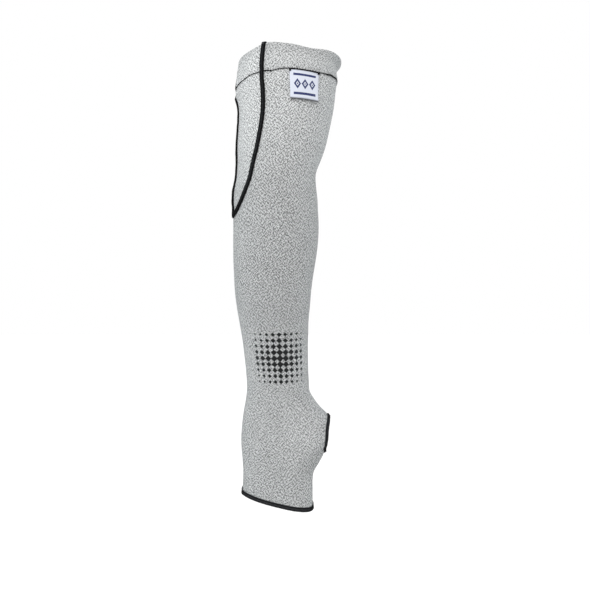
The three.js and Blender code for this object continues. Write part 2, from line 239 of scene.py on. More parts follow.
@dataclass(frozen=True)
class SleeveForm:
    """The shape of the sleeve as worn, from the same sizes as its solids."""

    length: float = 489 * MM
    upper_arm_width: float = 112 * MM
    upper_arm_depth: float = 104 * MM
    elbow_width: float = 87 * MM
    elbow_depth: float = 92 * MM
    forearm_width: float = 93 * MM
    forearm_depth: float = 84 * MM
    wrist_width: float = 68 * MM
    wrist_depth: float = 50 * MM
    hand_width: float = 79 * MM
    hand_depth: float = 44 * MM
    sway: float = 16 * MM
    bow: float = 34 * MM
    gap: float = 0.3 * MM
    cloth: float = 1.3 * MM
    band_height: float = 28 * MM
    band_puff: float = 1 * MM
    band_inner_fold: float = 1.6 * MM
    band_flare: float = 4.5 * MM
    band_droop: float = 4 * MM
    gusset_length: float = 174 * MM
    gusset_width: float = 69 * MM
    gusset_side: float = 190
    hole_height: float = 35 * MM
    hole_up: float = 77 * MM
    hole_arc: float = 40
    thumb_reach: float = 31 * MM
    thumb_set_back: float = 5 * MM
    dent_depth: float = 2.5 * MM
    lift_height: float = 3.5 * MM
    splay_start: float = 0.2
    wales: int = 180
    course: float = 1.3 * MM
    front: float = math.radians(270)
    girth_steps: int = 24

    @property
    def sections(self) -> tuple[Section, ...]:
        """The table of cross-sections, from the hand hem up."""
        arm_w, arm_d = self.upper_arm_width, self.upper_arm_depth
        fore_w, fore_d = self.forearm_width, self.forearm_depth
        hand_w, hand_d = self.hand_width, self.hand_depth
        return (
            Section(0, hand_w, 0.84 * hand_d, -0.75, 0.82, -0.24, 0.4, 2.5),
            Section(0.06, 0.99 * hand_w, 0.93 * hand_d, -0.73, 0.59, -0.17, 0.3, 2.5),
            Section(0.13, hand_w, 1.06 * hand_d, -0.81, 0.35, -0.08, 0.24, 2.4),
            Section(0.19, 0.94 * hand_w, 1.09 * hand_d, -0.82, 0.18, -0.03, 0.2, 2.3),
            Section(0.26, self.wrist_width, self.wrist_depth, -0.72, 0, 0, 0.16, 2.3),
            Section(0.36, 0.78 * fore_w, 0.76 * fore_d, -0.86, -0.24, 0, 0.14, 2.2),
            Section(0.47, 0.91 * fore_w, 0.9 * fore_d, -0.99, -0.47, 0, 0.13, 2.1),
            Section(0.6, fore_w, fore_d, -0.84, -0.69, 0, 0.08, 2.1),
            Section(0.68, 0.985 * fore_w, 1.05 * fore_d, -0.85, -0.72, 0, 0, 2.1),
            Section(0.735, self.elbow_width, self.elbow_depth, -0.82, -0.65, 0.01, -0.08, 2.1),
            Section(0.8, 0.866 * arm_w, 0.94 * arm_d, -0.46, -0.49, 0.02, -0.15, 2),
            Section(0.88, 0.942 * arm_w, arm_d, -0.17, -0.25, 0.05, -0.21, 2),
            Section(0.94, arm_w, arm_d, -0.1, -0.07, 0.06, -0.235, 2.05),
            Section(1, 0.98 * arm_w, 0.98 * arm_d, 0.04, 0.12, 0.04, -0.245, 2.1),
        )

    @property
    def pouch_rows(self) -> tuple[PouchRow, ...]:
        """The table of the cloth that is drawn out over the root of the thumb."""
        table = (
            (-1.4, 0),
            (-1.1, 0.06),
            (-0.85, 0.24),
            (-0.65, 0.38),
            (-0.5, 0.47),
            (0, 0.97),
            (0.5, 0.69),
            (0.8, 0.37),
            (1.05, 0.17),
            (1.3, 0.02),
            (1.6, 0),
        )
        return tuple(PouchRow(*row) for row in table)

    @property
    def edge_rows(self) -> tuple[EdgeRow, ...]:
        """The table of the gusset's edges, from its tip up."""
        table = (
            (0, 0, 0),
            (0.03, 0.17, -0.012),
            (0.1, 0.34, -0.006),
            (0.19, 0.46, 0.015),
            (0.33, 0.55, 0.05),
            (0.47, 0.64, 0.095),
            (0.58, 0.69, 0.135),
            (0.66, 0.705, 0.15),
            (0.72, 0.708, 0.138),
            (0.755, 0.709, 0.148),
            (0.775, 0.71, 0.2),
            (0.795, 0.709, 0.285),
            (0.83, 0.707, 0.305),
            (0.88, 0.703, 0.308),
            (1, 0.69, 0.32),
        )
        return tuple(EdgeRow(*row) for row in table)

    @property
    def dents(self) -> tuple[Bump, ...]:
        """The soft dents, and swells where they are negative, of the whole sleeve."""
        return (
            Bump(0.775, 285, 0.7, 0.022, 34),
            Bump(0.71, 262, -0.7, 0.06, 34),
            Bump(0.06, 318, 0.8, 0.03, 16),
            Bump(0.045, 262, 0.45, 0.022, 22),
            Bump(0.27, 270, 0.35, 0.02, 45),
            Bump(0.74, 95, 1, 0.022, 50),
            Bump(0.968, 355, 1.2, 0.014, 30),
            Bump(0.925, 0, 0.45, 0.03, 34),
            Bump(0.885, 180, 0.5, 0.055, 28),
            Bump(0.5, 0, 0.5, 0.05, 40),
            Bump(0.986, 0, 2.5, 0.0095, 28),
            Bump(0.43, 0, 0.55, 0.05, 35),
            Bump(0.69, 189, -0.42, 0.03, 15),
            Bump(0.93, 184, -0.55, 0.012, 14),
            Bump(0.108, 324, 0.7, 0.024, 16),
        )

    @property
    def lifts(self) -> tuple[Bump, ...]:
        """Where the cloth is drawn up or hangs down, with a pucker at the hem line by the seam."""
        return (
            Bump(0, 177, -0.9, 0.03, 24),
            Bump(0.943, 308, -0.85, 0.03, 26),
            Bump(0.943, 195, -0.8, 0.03, 22),
            Bump(1, 246, 1, 0.035, 17),
            Bump(1, 294, -1.05, 0.035, 17),
            Bump(0.943, 254, -0.45, 0.014, 5),
        )

    @property
    def folds(self) -> tuple[Fold, ...]:
        """The creases that the bent arm, the wrist and the thumb make."""
        mm = MM
        return (
            Fold(0.735, 335, 34, 9 * mm, 0.25, 0.7 * mm),
            Fold(0.69, 330, 30, 9 * mm, 0.15, 0.5 * mm),
            Fold(0.775, 340, 34, 10 * mm, 0.3, 0.5 * mm),
            Fold(0.275, 300, 40, 5 * mm, 0.1, 0.45 * mm),
            Fold(0.255, 280, 48, 4.5 * mm, -0.06, 0.4 * mm),
            Fold(0.238, 315, 36, 4.5 * mm, -0.25, 0.5 * mm),
            Fold(0.21, 322, 22, 5 * mm, -0.6, 0.6 * mm),
            Fold(0.125, 325, 16, 6 * mm, 0.9, 0.7 * mm),
            Fold(0.085, 300, 20, 7 * mm, 0.7, 0.6 * mm),
            Fold(0.06, 275, 24, 6 * mm, 0.35, 0.45 * mm),
            Fold(0.76, 95, 50, 6 * mm, 0.05, 1.2 * mm),
            Fold(0.725, 92, 46, 6 * mm, -0.08, 1.1 * mm),
            Fold(0.69, 98, 40, 6 * mm, 0.06, 0.7 * mm),
            Fold(0.27, 95, 40, 5 * mm, 0.05, 0.7 * mm),
            Fold(0.245, 88, 36, 5 * mm, -0.08, 0.6 * mm),
        )

    @property
    def hem_line(self) -> float:
        """How far up the band's lower edge is."""
        return 1 - self.band_height / self.length

    @property
    def fold_radius(self) -> float:
        """The radius of the fold at the band's top edge."""
        return (self.band_puff + self.cloth + self.band_inner_fold) / 2

    @property
    def shoulder(self) -> float:
        """How far up the band's fold starts."""
        return 1 - self.fold_radius / self.length

    @property
    def gusset_tip(self) -> float:
        """How far up the gusset's tip is."""
        return 1 - self.gusset_length / self.length

    @property
    def hole_middle(self) -> float:
        """How far up the middle of the thumb hole is."""
        return self.hole_up / self.length

    def _reach(self, up: Array) -> Array:
        """Gives how far the cloth is drawn out over the thumb at a height."""
        rows = self.pouch_rows
        along = (up - self.hole_middle) * self.length / self.hole_height
        inside = (along > rows[0].along) & (along < rows[-1].along)
        return np.where(inside, self.thumb_reach * through_rows(rows, "along", "reach")(along), 0)

    def at(self, around: Array, up: Array) -> Array:
        """Gives the points of the cloth's outer face, before its fine relief.

        Args:
            around: Angles round the arm.
            up: Shares of the way up.

        Returns:
            An array of points with one more axis, of size 3.
        """
        rows = self.sections
        value = {f.name: through_rows(rows, "up", f.name)(up) for f in fields(Section) if f.name != "up"}
        c, s = np.cos(around), np.sin(around)
        power = value["square"]
        fill = (np.abs(c) ** power + np.abs(s) ** power) ** (-1 / power)
        x = value["width"] / 2 * c * fill
        y = value["depth"] / 2 * s * fill
        size = np.hypot(x, y)
        shrink = (size - self.dent_depth * sum_of(self.dents, around, up)) / size
        thumb = smoothstep(c, 0, 1) * self._reach(up)
        splayed = smoothstep(c, self.splay_start, 1) * smoothstep(up, self.hem_line, 1) ** 2
        x = x * shrink + thumb + splayed * self.band_flare
        y = y * shrink + thumb / self.thumb_reach * self.thumb_set_back
        rise = x * value["lean"] + y * value["nod"] - splayed * self.band_droop
        rise = rise + self.lift_height * sum_of(self.lifts, around, up)
        z = (up - 1) * self.length + self.band_height / 2 + rise
        return np.stack([value["across"] * self.sway + x, value["back"] * self.bow + y, z], axis=-1)

    def frame_at(self, around: Array, up: Array) -> tuple[Array, Array, Array, Array]:
        """Gives the cloth's point, its two directions and its outward normal at each place."""
        step = 1e-3
        point = self.at(around, up)
        around_way = (self.at(around + step, up) - self.at(around - step, up)) / (2 * step)
        upward = (self.at(around, up + step) - self.at(around, up - step)) / (2 * step)
        normal = np.cross(around_way, upward)
        normal = normal / np.linalg.norm(normal, axis=-1, keepdims=True)
        return point, around_way, upward, normal

    def edge(self, up: Array, which: str, aside: float = 0.0) -> Array:
        """Gives the angle of one edge of the gusset.

        Args:
            up: Shares of the way up.
            which: The table's column, front or back.
            aside: How far to move the edge away from the gusset.

        Returns:
            The angles, those below the tip as at the tip.
        """
        share = np.clip((up - self.gusset_tip) / (1 - self.gusset_tip), 0, None)
        value = {name: through_rows(self.sections, "up", name)(up) for name in ("width", "depth")}
        radius = (value["width"] + value["depth"]) / 4
        turn = 1 if which == "front" else -1
        far = through_rows(self.edge_rows, "up", which)(share) * self.gusset_width + aside
        return math.radians(self.gusset_side) + turn * far / radius

    def face_out(self, up: Array) -> Array:
        """Gives how far the folded band stands out past the single cloth."""
        inside = (up - self.hem_line) / (1 - self.hem_line)
        return self.band_puff * smoothstep(inside, 0, 0.2)

    def relief(self, around: Array, up: Array) -> Array:
        """Gives how far creases, puckers and slack move the cloth outwards."""
        turn = around / TURN
        slack = 0.45 * soft_noise(turn, up, 7, 11, 3) + 0.22 * soft_noise(turn, up, 17, 27, 4)
        total = slack * MM
        for fold in self.folds:
            away = np.angle(np.exp(1j * (around - math.radians(fold.around))))
            side = away * 0.04
            across = ((up - fold.up) * self.length - fold.slant * side) / fold.tall
            along = np.exp(-((away / math.radians(fold.wide)) ** 2) * 2)
            total = total - fold.deep * along * (1 - 1.6 * across**2) * np.exp(-(across**2))
        total = total + self._hem_puckers(turn, up) + self._seam_puckers(around, up)
        return total

    def _hem_puckers(self, turn: Array, up: Array) -> Array:
        """Gives the small gathers on both sides of the hem line."""
        off = np.abs(up - self.hem_line) * self.length
        gather = soft_noise(turn, np.full(np.shape(turn), 0.5), 46, 1, 8)
        return 0.5 * MM * gather * np.exp(-off / (6 * MM)) * smoothstep(off, 0, 1.5 * MM)

    def _seam_puckers(self, around: Array, up: Array) -> Array:
        """Gives the small gathers beside the gusset's seam."""
        total = 0.0
        for which, seed in (("front", 12), ("back", 13)):
            off = np.abs(around - self.edge(up, which)) * self.upper_arm_width / 2
            gather = soft_noise(np.full(np.shape(up), 0.5), up, 3, 80, seed)
            above = smoothstep(up, self.gusset_tip, self.gusset_tip + 0.02)
            total = total + 0.45 * MM * gather * np.exp(-off / (5 * MM)) * above
        return total

    def off_cloth(self, around: Array, up: Array, out: Array | float) -> Array:
        """Gives points that stand out from the cloth with all its relief.

        Args:
            around: Angles round the arm.
            up: Shares of the way up.
            out: How far out from the cloth's outer face, negative inside it.

        Returns:
            The points.
        """
        point, _, _, normal = self.frame_at(around, up)
        away = np.broadcast_to(self.relief(around, up) + out, point.shape[:-1])
        return point + normal * away[..., None]

    def stitches(self, around: Array, up: Array) -> Array:
        """Gives the count of wales round the arm and of courses up it, for the knit's pattern."""
        wale = around / TURN * self.wales
        course = up * self.length / self.course
        return np.stack(np.broadcast_arrays(wale, course), axis=-1)

    def girths(self, around: Array, up: Array) -> Array:
        """Gives the share of the girth from the front middle and the girth, for the grain of the yarn."""
        off = around - self.front
        steps = np.linspace(0, 1, self.girth_steps + 1)[:, None, None]
        part, whole = (
            np.linalg.norm(np.diff(self.at(self.front + turn * steps, up), axis=0), axis=-1).sum(axis=0)
            for turn in (off, np.full(off.shape, TURN))
        )
        return np.stack([np.sign(off) * part / whole, whole], axis=-1)


def grid_faces(rows: int, columns: int) -> Array:
    """Gives the four corners of each cell of a grid whose rows run up and columns run round."""
    corner = np.arange(rows * columns).reshape(rows, columns)
    return np.stack(
        [corner[:-1, :-1], corner[:-1, 1:], corner[1:, 1:], corner[1:, :-1]], axis=-1
    ).reshape(-1, 4)


def open_edges(faces: Array) -> Array:
    """Gives the directed edges of the faces that no second face shares."""
    edges = np.concatenate([faces[:, [i, (i + 1) % 4]] for i in range(4)])
    edges = edges[edges[:, 0] != edges[:, 1]]
    seen = {tuple(edge) for edge in edges.tolist()}
    return np.array([edge for edge in edges.tolist() if (edge[1], edge[0]) not in seen])


def close_wall(faces: Array, count: int) -> Array:
    """Adds the faces of a wall's inner side and of its edges to those of its outer side.

    Args:
        faces: The faces of the outer side.
        count: How many points the outer side has. Those of the inner side follow them.

    Returns:
        All the faces.
    """
    rim = open_edges(faces)
    sides = np.stack([rim[:, 1], rim[:, 0], rim[:, 0] + count, rim[:, 1] + count], axis=-1)
    return np.concatenate([faces, faces[:, ::-1] + count, sides])


def make_piece(
    name: str,
    points: Array,
    faces: Sequence,
    material: Material,
    maps: dict[Layer, Array] | None = None,
) -> Piece:
    """Makes a smooth-shaded mesh object.

    Args:
        name: The piece's name.
        points: Its vertices.
        faces: The vertex numbers of each face.
        material: Its material.
        maps: A value of two numbers for each vertex, by map.

    Returns:
        The new object, linked to the scene.
    """
    mesh = bpy.data.meshes.new(name)
    mesh.from_pydata(np.asarray(points).tolist(), [], [list(face) for face in faces])
    corners = np.zeros(len(mesh.loops), dtype=int)
    mesh.loops.foreach_get("vertex_index", corners)
    for layer, values in (maps or {}).items():
        uv = mesh.uv_layers.new(name=layer.value)
        uv.data.foreach_set("uv", np.asarray(values, dtype=np.float32)[corners].ravel())
    mesh.shade_smooth()
    mesh.materials.append(material)
    mesh.update()
    piece = bpy.data.objects.new(name, mesh)
    bpy.context.scene.collection.objects.link(piece)
    return piece


@dataclass
class Sheet:
    """A wall of cloth: a grid of places with an outer and an inner face, closed at its edges."""

    form: SleeveForm
    around: Array
    up: Array
    outer: Array
    inner: Array
    faces: Array

    def build(self, name: str, material: Material) -> Piece:
        """Makes the sheet's mesh.

        Args:
            name: The piece's name.
            material: The cloth's material.

        Returns:
            The new object.
        """
        everything = close_wall(self.faces, self.around.size)
        points = np.concatenate([self.outer.reshape(-1, 3), self.inner.reshape(-1, 3)])
        used = np.unique(everything)
        renumber = np.zeros(len(points), dtype=int)
        renumber[used] = np.arange(len(used))
        values = {
            Layer.STITCH: self.form.stitches(self.around, self.up),
            Layer.PLACE: np.stack([self.around, self.up], axis=-1),
            Layer.GIRTH: self.form.girths(self.around, self.up),
        }
        maps = {layer: np.tile(value.reshape(-1, 2), (2, 1))[used] for layer, value in values.items()}
        corners = [list(dict.fromkeys(face)) for face in renumber[everything].tolist()]
        return make_piece(name, points[used], corners, material, maps)


class Value:
    """A number, vector or colour in a node tree. Sums and products of it are new nodes."""

    def __init__(self, sheet: "NodeSheet", socket: bpy.types.NodeSocket) -> None:
        """Holds one output of the tree."""
        self.sheet = sheet
        self.socket = socket

    def __add__(self, other: "Value | float") -> "Value":
        """Adds."""
        return self.sheet.math("ADD", self, other)

    def __sub__(self, other: "Value | float") -> "Value":
        """Subtracts."""
        return self.sheet.math("SUBTRACT", self, other)

    def __rsub__(self, other: float) -> "Value":
        """Subtracts from a constant."""
        return self.sheet.math("SUBTRACT", other, self)

    def __mul__(self, other: "Value | float") -> "Value":
        """Multiplies."""
        return self.sheet.math("MULTIPLY", self, other)

    def __truediv__(self, other: "Value | float") -> "Value":
        """Divides."""
        return self.sheet.math("DIVIDE", self, other)

    def __pow__(self, other: float) -> "Value":
        """Raises to a power."""
        return self.sheet.math("POWER", self, other)

    def __abs__(self) -> "Value":
        """Drops the sign."""
        return self.sheet.math("ABSOLUTE", self)


Input = Value | float | Sequence[float]


class NodeSheet:
    """A material's node tree, with short calls for the nodes that its maths needs."""

    def __init__(self, name: str) -> None:
        """Makes an empty material with a principled shader and an output."""
        self.material = bpy.data.materials.new(name)
        self.material.use_nodes = True
        self.tree = self.material.node_tree
        self.tree.nodes.clear()
        self.shader = self.tree.nodes.new("ShaderNodeBsdfPrincipled")
        output = self.tree.nodes.new("ShaderNodeOutputMaterial")
        self.tree.links.new(self.shader.outputs["BSDF"], output.inputs["Surface"])

    def plug(self, socket: bpy.types.NodeSocket, value: Input) -> None:
        """Links a socket to a value of the tree, or sets it to a constant."""
        if isinstance(value, Value):
            self.tree.links.new(value.socket, socket)
        else:
            socket.default_value = value

    def node(
        self, kind: str, inputs: dict[str | int, Input], output: str | int = 0, **settings: str
    ) -> Value:
        """Adds a node.

        Args:
            kind: Its type, without the ShaderNode in front.
            inputs: The values of its inputs, by name or number.
            output: The name or number of the output that is wanted.
            settings: Its own settings.

        Returns:
            The output.
        """
        node = self.tree.nodes.new(f"ShaderNode{kind}")
        for name, setting in settings.items():
            setattr(node, name, setting)
        for key, value in inputs.items():
            self.plug(node.inputs[key], value)
        return Value(self, node.outputs[output])

    def math(self, operation: str, *values: Value | float) -> Value:
        """Gives the result of a math node."""
        return self.node("Math", dict(enumerate(values)), operation=operation)

    def span(self, value: Value, low: float, high: float, to_low: float = 0, to_high: float = 1) -> Value:
        """Maps a value smoothly from one span to another, held at the ends."""
        ends = dict(enumerate((value, low, high, to_low, to_high)))
        return self.node("MapRange", ends, interpolation_type="SMOOTHSTEP")

    def uv(self, layer: Layer) -> tuple[Value, Value]:
        """Gives the two numbers of one of the mesh's maps."""
        split = self.node("SeparateXYZ", {0: self.node("UVMap", {}, uv_map=layer.value)})
        return split, Value(self, split.socket.node.outputs[1])

    def offsets(self, form: SleeveForm, around: float, up: float, radius: float) -> tuple[Value, Value]:
        """Gives how far each place on the cloth lies from a middle.

        Args:
            form: The sleeve.
            around: The middle's angle in degrees.
            up: The middle's share of the way up.
            radius: The cloth's radius there.

        Returns:
            The metres round the arm and the metres up it.
        """
        turn, height = self.uv(Layer.PLACE)
        return (turn - math.radians(around)) * radius, (height - up) * form.length

    def join(self, x: Value, y: Value) -> Value:
        """Puts two numbers together as a vector."""
        return self.node("CombineXYZ", {0: x, 1: y})

    def place(self) -> Value:
        """Gives the point in the object's own space."""
        return self.node("TexCoord", {}, "Object")

    def white_noise(self, vector: Value) -> Value:
        """Gives a random number for each value of a vector."""
        return self.node("TexWhiteNoise", {"Vector": vector}, "Value", noise_dimensions="3D")

    def noise(self, vector: Value, scale: float, detail: float = 2, roughness: float = 0.5) -> Value:
        """Gives smooth noise about 0.5."""
        inputs = {"Vector": vector, "Scale": scale, "Detail": detail, "Roughness": roughness}
        return self.node("TexNoise", inputs, "Fac")

    def blend(self, share: Value, low: Input, high: Input) -> Value:
        """Mixes two colours."""
        return self.node("Mix", {"Factor": share, "A": low, "B": high}, "Result", data_type="RGBA")

    def surface(self, look: dict[str, Input], height: Value | None = None, deep: float = 0) -> Material:
        """Sets the shader up.

        Args:
            look: The values of its inputs, by name.
            height: The relief from 0 to 1, if any.
            deep: How deep the relief is.

        Returns:
            The material.
        """
        if height:
            relief = {"Height": height, "Distance": deep, "Strength": 1.0}
            look = {**look, "Normal": self.node("Bump", relief)}
        for name, value in look.items():
            self.plug(self.shader.inputs[name], value)
        return self.material


def colour(value: float, tint: Sequence[float] = (1, 1, 1)) -> tuple[float, float, float, float]:
    """Gives a grey of a given value, tinted, as a node's colour."""
    return (value * tint[0], value * tint[1], value * tint[2], 1.0)


@dataclass(frozen=True)
class InkMotif:
    """A printed patch of lozenges on a lattice, largest at its middle. Lengths are metres.

    middle_size and fading are how large the middle lozenge is and how much smaller those at the edge are,
    as shares of fullest. soft is the width of the ink's edge and last the share of the way out of its end.
    """

    up: float = 0.336
    around: float = 277
    radius: float = 37 * MM
    half_width: float = 26 * MM
    half_height: float = 27 * MM
    pitch: float = 6.6 * MM
    fullest: float = 0.62
    middle_size: float = 1.05
    fading: float = 0.375
    soft: float = 0.02
    last: float = 1.02

    def mask(self, sheet: NodeSheet, form: SleeveForm) -> Value:
        """Gives 1 where the ink is.

        Args:
            sheet: The cloth's node tree.
            form: The sleeve, for the places of the mesh's map.

        Returns:
            The mask.
        """
        across, above = sheet.offsets(form, self.around, self.up, self.radius)
        metric, outs = [], []
        for off, half in ((across, self.half_width), (above, self.half_height)):
            step = off / self.pitch
            nearest = sheet.math("ROUND", step)
            metric.append(abs(step - nearest))
            outs.append(abs(nearest * (self.pitch / half)))
        size = (self.middle_size - (outs[0] + outs[1]) * self.fading) * self.fullest
        drawn = sheet.span(size - (metric[0] + metric[1]), -self.soft, self.soft)
        return drawn * sheet.math("LESS_THAN", sheet.math("MAXIMUM", *outs), self.last)


@dataclass(frozen=True)
class ThumbRootShade:
    """Painted shade on the knit in the hollow by the thumb's root, which makes it darker.

    up and around, in degrees, are its middle and radius is the hand's there. It is full within near of the
    middle and gone at far, in metres.
    """

    up: float = 0.11
    around: float = 329
    radius: float = 40 * MM
    near: float = 5 * MM
    far: float = 27 * MM
    tone: float = 0.83

    def shade(self, sheet: NodeSheet, form: SleeveForm) -> Value:
        """Gives the tone, which is 1 outside the patch.

        Args:
            Gives the painted shade's tone, which is 1 outside the patch.
            form: The sleeve, for the places of the mesh's map.

        Returns:
            The tone.
        """
        across, above = sheet.offsets(form, self.around, self.up, self.radius)
        away = sheet.math("SQRT", across**2.0 + above**2.0)
        return sheet.span(away, self.near, self.far, self.tone, 1.0)


@dataclass(frozen=True)
class Heather:
    """How pale and dark fibres mix in the yarn.

    cell is the length of yarn that has one tone. each, fibre, clump and drift are the shares of the tone
    that come from the single length, from its fibres, from its near neighbours and from the wider cloth,
    and base is added to them.
    """

    cell: float = 0.8 * MM
    each: float = 0.54
    fibre: float = 0.08
    clump: float = 0.28
    drift: float = 0.08
    base: float = 0.05
    clump_scale: float = 1350
    drift_scale: float = 55

    def cells(self, sheet: NodeSheet, form: SleeveForm, aside: Value) -> Value:
        """Gives the number of the length of yarn at each place, counted from the front middle.

        Args:
            sheet: The cloth's node tree.
            form: The sleeve, for the places of the mesh's maps.
            aside: How far each place is from the middle of its stitch, from 0 to 1.

        Returns:
            The number, as a vector.
        """
        share, girth = sheet.uv(Layer.GIRTH)
        _, up = sheet.uv(Layer.PLACE)
        row = (up * form.length + aside * (self.cell / 2)) / self.cell
        return sheet.join(sheet.math("FLOOR", share * girth / self.cell), sheet.math("FLOOR", row))

    def pale_share(self, sheet: NodeSheet, cell: Value, fibre: Value) -> Value:
        """Gives the share of pale fibre, where each length of yarn differs from those about it.

        Args:
            sheet: The cloth's node tree.
            cell: The number of the length of yarn.
            fibre: The fibres' noise.

        Returns:
            The share.
        """
        apart = sheet.white_noise(cell)
        for by in ((2, 0, 0), (-2, 0, 0), (0, 2, 0), (0, -2, 0)):
            beside = sheet.node("VectorMath", {0: cell, 1: by}, operation="ADD")
            apart = apart - sheet.white_noise(beside) * 0.25
        clump = sheet.noise(sheet.place(), self.clump_scale, 2, 0.6)
        drift = sheet.noise(sheet.place(), self.drift_scale, 2, 0.6) - 0.5
        near = sheet.span(apart, -0.3, 0.3) * self.each + sheet.span(fibre, 0.35, 0.65) * self.fibre
        return near + sheet.span(clump, 0.42, 0.58) * self.clump + self.base + drift * self.drift


@dataclass(frozen=True)
class KnitFinish:
    """Heather plain knit: rows of V stitches in a yarn of pale and dark fibres.

    gap_shade is how much painted shade darkens the gaps between the stitches. stretched and
    top_fold_shade_span hold the shares of the way up between which painted shade darkens the knit over the
    forearm and up to the top fold, and forearm_shade_tone and top_fold_shade_tone how far.
    """

    name: str
    pale: float = 0.8
    dark: float = 0.012
    ink: float = 0.009
    tint: tuple[float, float, float] = (0.985, 1.0, 1.0)
    relief: float = 0.4 * MM
    slant: float = 0.7
    # painted shade: how much darker the gaps between the stitches are
    gap_shade: float = 0.3
    heather: Heather = Heather()
    # painted shade: the shares of the way up where the knit over the forearm is darkened, and how far
    stretched: tuple[float, float, float, float] = (0.3, 0.45, 0.7, 0.82)
    forearm_shade_tone: float = 0.87
    # painted shade: where the knit up to the top fold is darkened, and how far
    top_fold_shade_span: tuple[float, float] = (0.965, 0.995)
    top_fold_shade_tone: float = 0.86
    sheen: tuple[float, float, float, float] = (0.85, 0.95, 1.0, 1.0)
    motif: InkMotif | None = None
    # painted shade in the hollow by the thumb's root, if any
    thumb_shade: ThumbRootShade | None = None

    def make(self, form: SleeveForm) -> Material:
        """Makes the material.

        Args:
            form: The sleeve, for the places of the print and of the painted shade at the thumb's root.

        Returns:
            The material.
        """
        sheet = NodeSheet(self.name)
        height, cell, fibre = self._stitch(sheet, form)
        fleck = self.heather.pale_share(sheet, cell, fibre)
        base = sheet.blend(fleck, colour(self.dark, self.tint), colour(self.pale, self.tint))
        # painted shade: darker in the gaps between the stitches, over the forearm and up to the top fold
        tone = (height * self.gap_shade + (1 - self.gap_shade)) * self._painted_shade(sheet)
        # painted shade in the hollow by the thumb's root
        if self.thumb_shade:
            tone = tone * self.thumb_shade.shade(sheet, form)
        base = sheet.blend(tone, colour(0), base)
        if self.motif:
            worn = sheet.span(fibre, 0.3, 0.42, 0.8, 1.0)
            base = sheet.blend(self.motif.mask(sheet, form) * worn, base, colour(self.ink))
        look = {"Base Color": base, "Roughness": 0.9, "Specular IOR Level": 0.15}
        look |= {"Sheen Weight": 0.14, "Sheen Roughness": 0.4, "Sheen Tint": self.sheen}
        return sheet.surface(look, height, self.relief)

    def _stitch(self, sheet: NodeSheet, form: SleeveForm) -> tuple[Value, Value, Value]:
        """Gives the stitches' height from 0 to 1, the number of each length of yarn and its fibre noise."""
        wale, course = sheet.uv(Layer.STITCH)
        aside = abs(sheet.math("FRACT", wale) - 0.5) * 2.0
        along = course + aside * self.slant
        leg = 1.0 - abs(aside * 2.0 - 1.0) ** 2.0
        swell = sheet.math("SINE", sheet.math("FRACT", along) * math.pi)
        height = leg**0.6 * (swell * 0.55 + 0.45)
        fibre = sheet.noise(sheet.join(wale * 1.6, along), 1.7, 4, 0.7)
        return height, self.heather.cells(sheet, form, aside), fibre

    def _painted_shade(self, sheet: NodeSheet) -> Value:
        """Gives the painted shade that darkens the knit over the forearm and up to the top fold."""
        _, up = sheet.uv(Layer.PLACE)
        low, full, leaving, high = self.stretched
        # painted shade over the forearm and up to the top fold
        below = sheet.span(up, low, full, 1.0, self.forearm_shade_tone)
        above = sheet.span(up, leaving, high, self.forearm_shade_tone, 1.0)
        fold = sheet.span(up, *self.top_fold_shade_span, 1.0, self.top_fold_shade_tone)
        return sheet.math("MAXIMUM", below, above) * fold


@dataclass(frozen=True)
class ThreadFinish:
    """Black textured sewing thread."""

    name: str = "black_overlock_thread"
    value: float = 0.0035
    tint: tuple[float, float, float] = (0.95, 1, 1.12)
    relief: float = 0.12 * MM

    def make(self) -> Material:
        """Makes the material."""
        sheet = NodeSheet(self.name)
        fuzz = sheet.noise(sheet.place(), 2600, 3, 0.6)
        dark, pale = colour(self.value * 0.6), colour(self.value * 1.8, self.tint)
        base = sheet.blend(sheet.span(fuzz, 0.35, 0.7), dark, pale)
        look = {"Base Color": base, "Roughness": 0.5, "Specular IOR Level": 0.04}
        return sheet.surface(look, fuzz, self.relief)


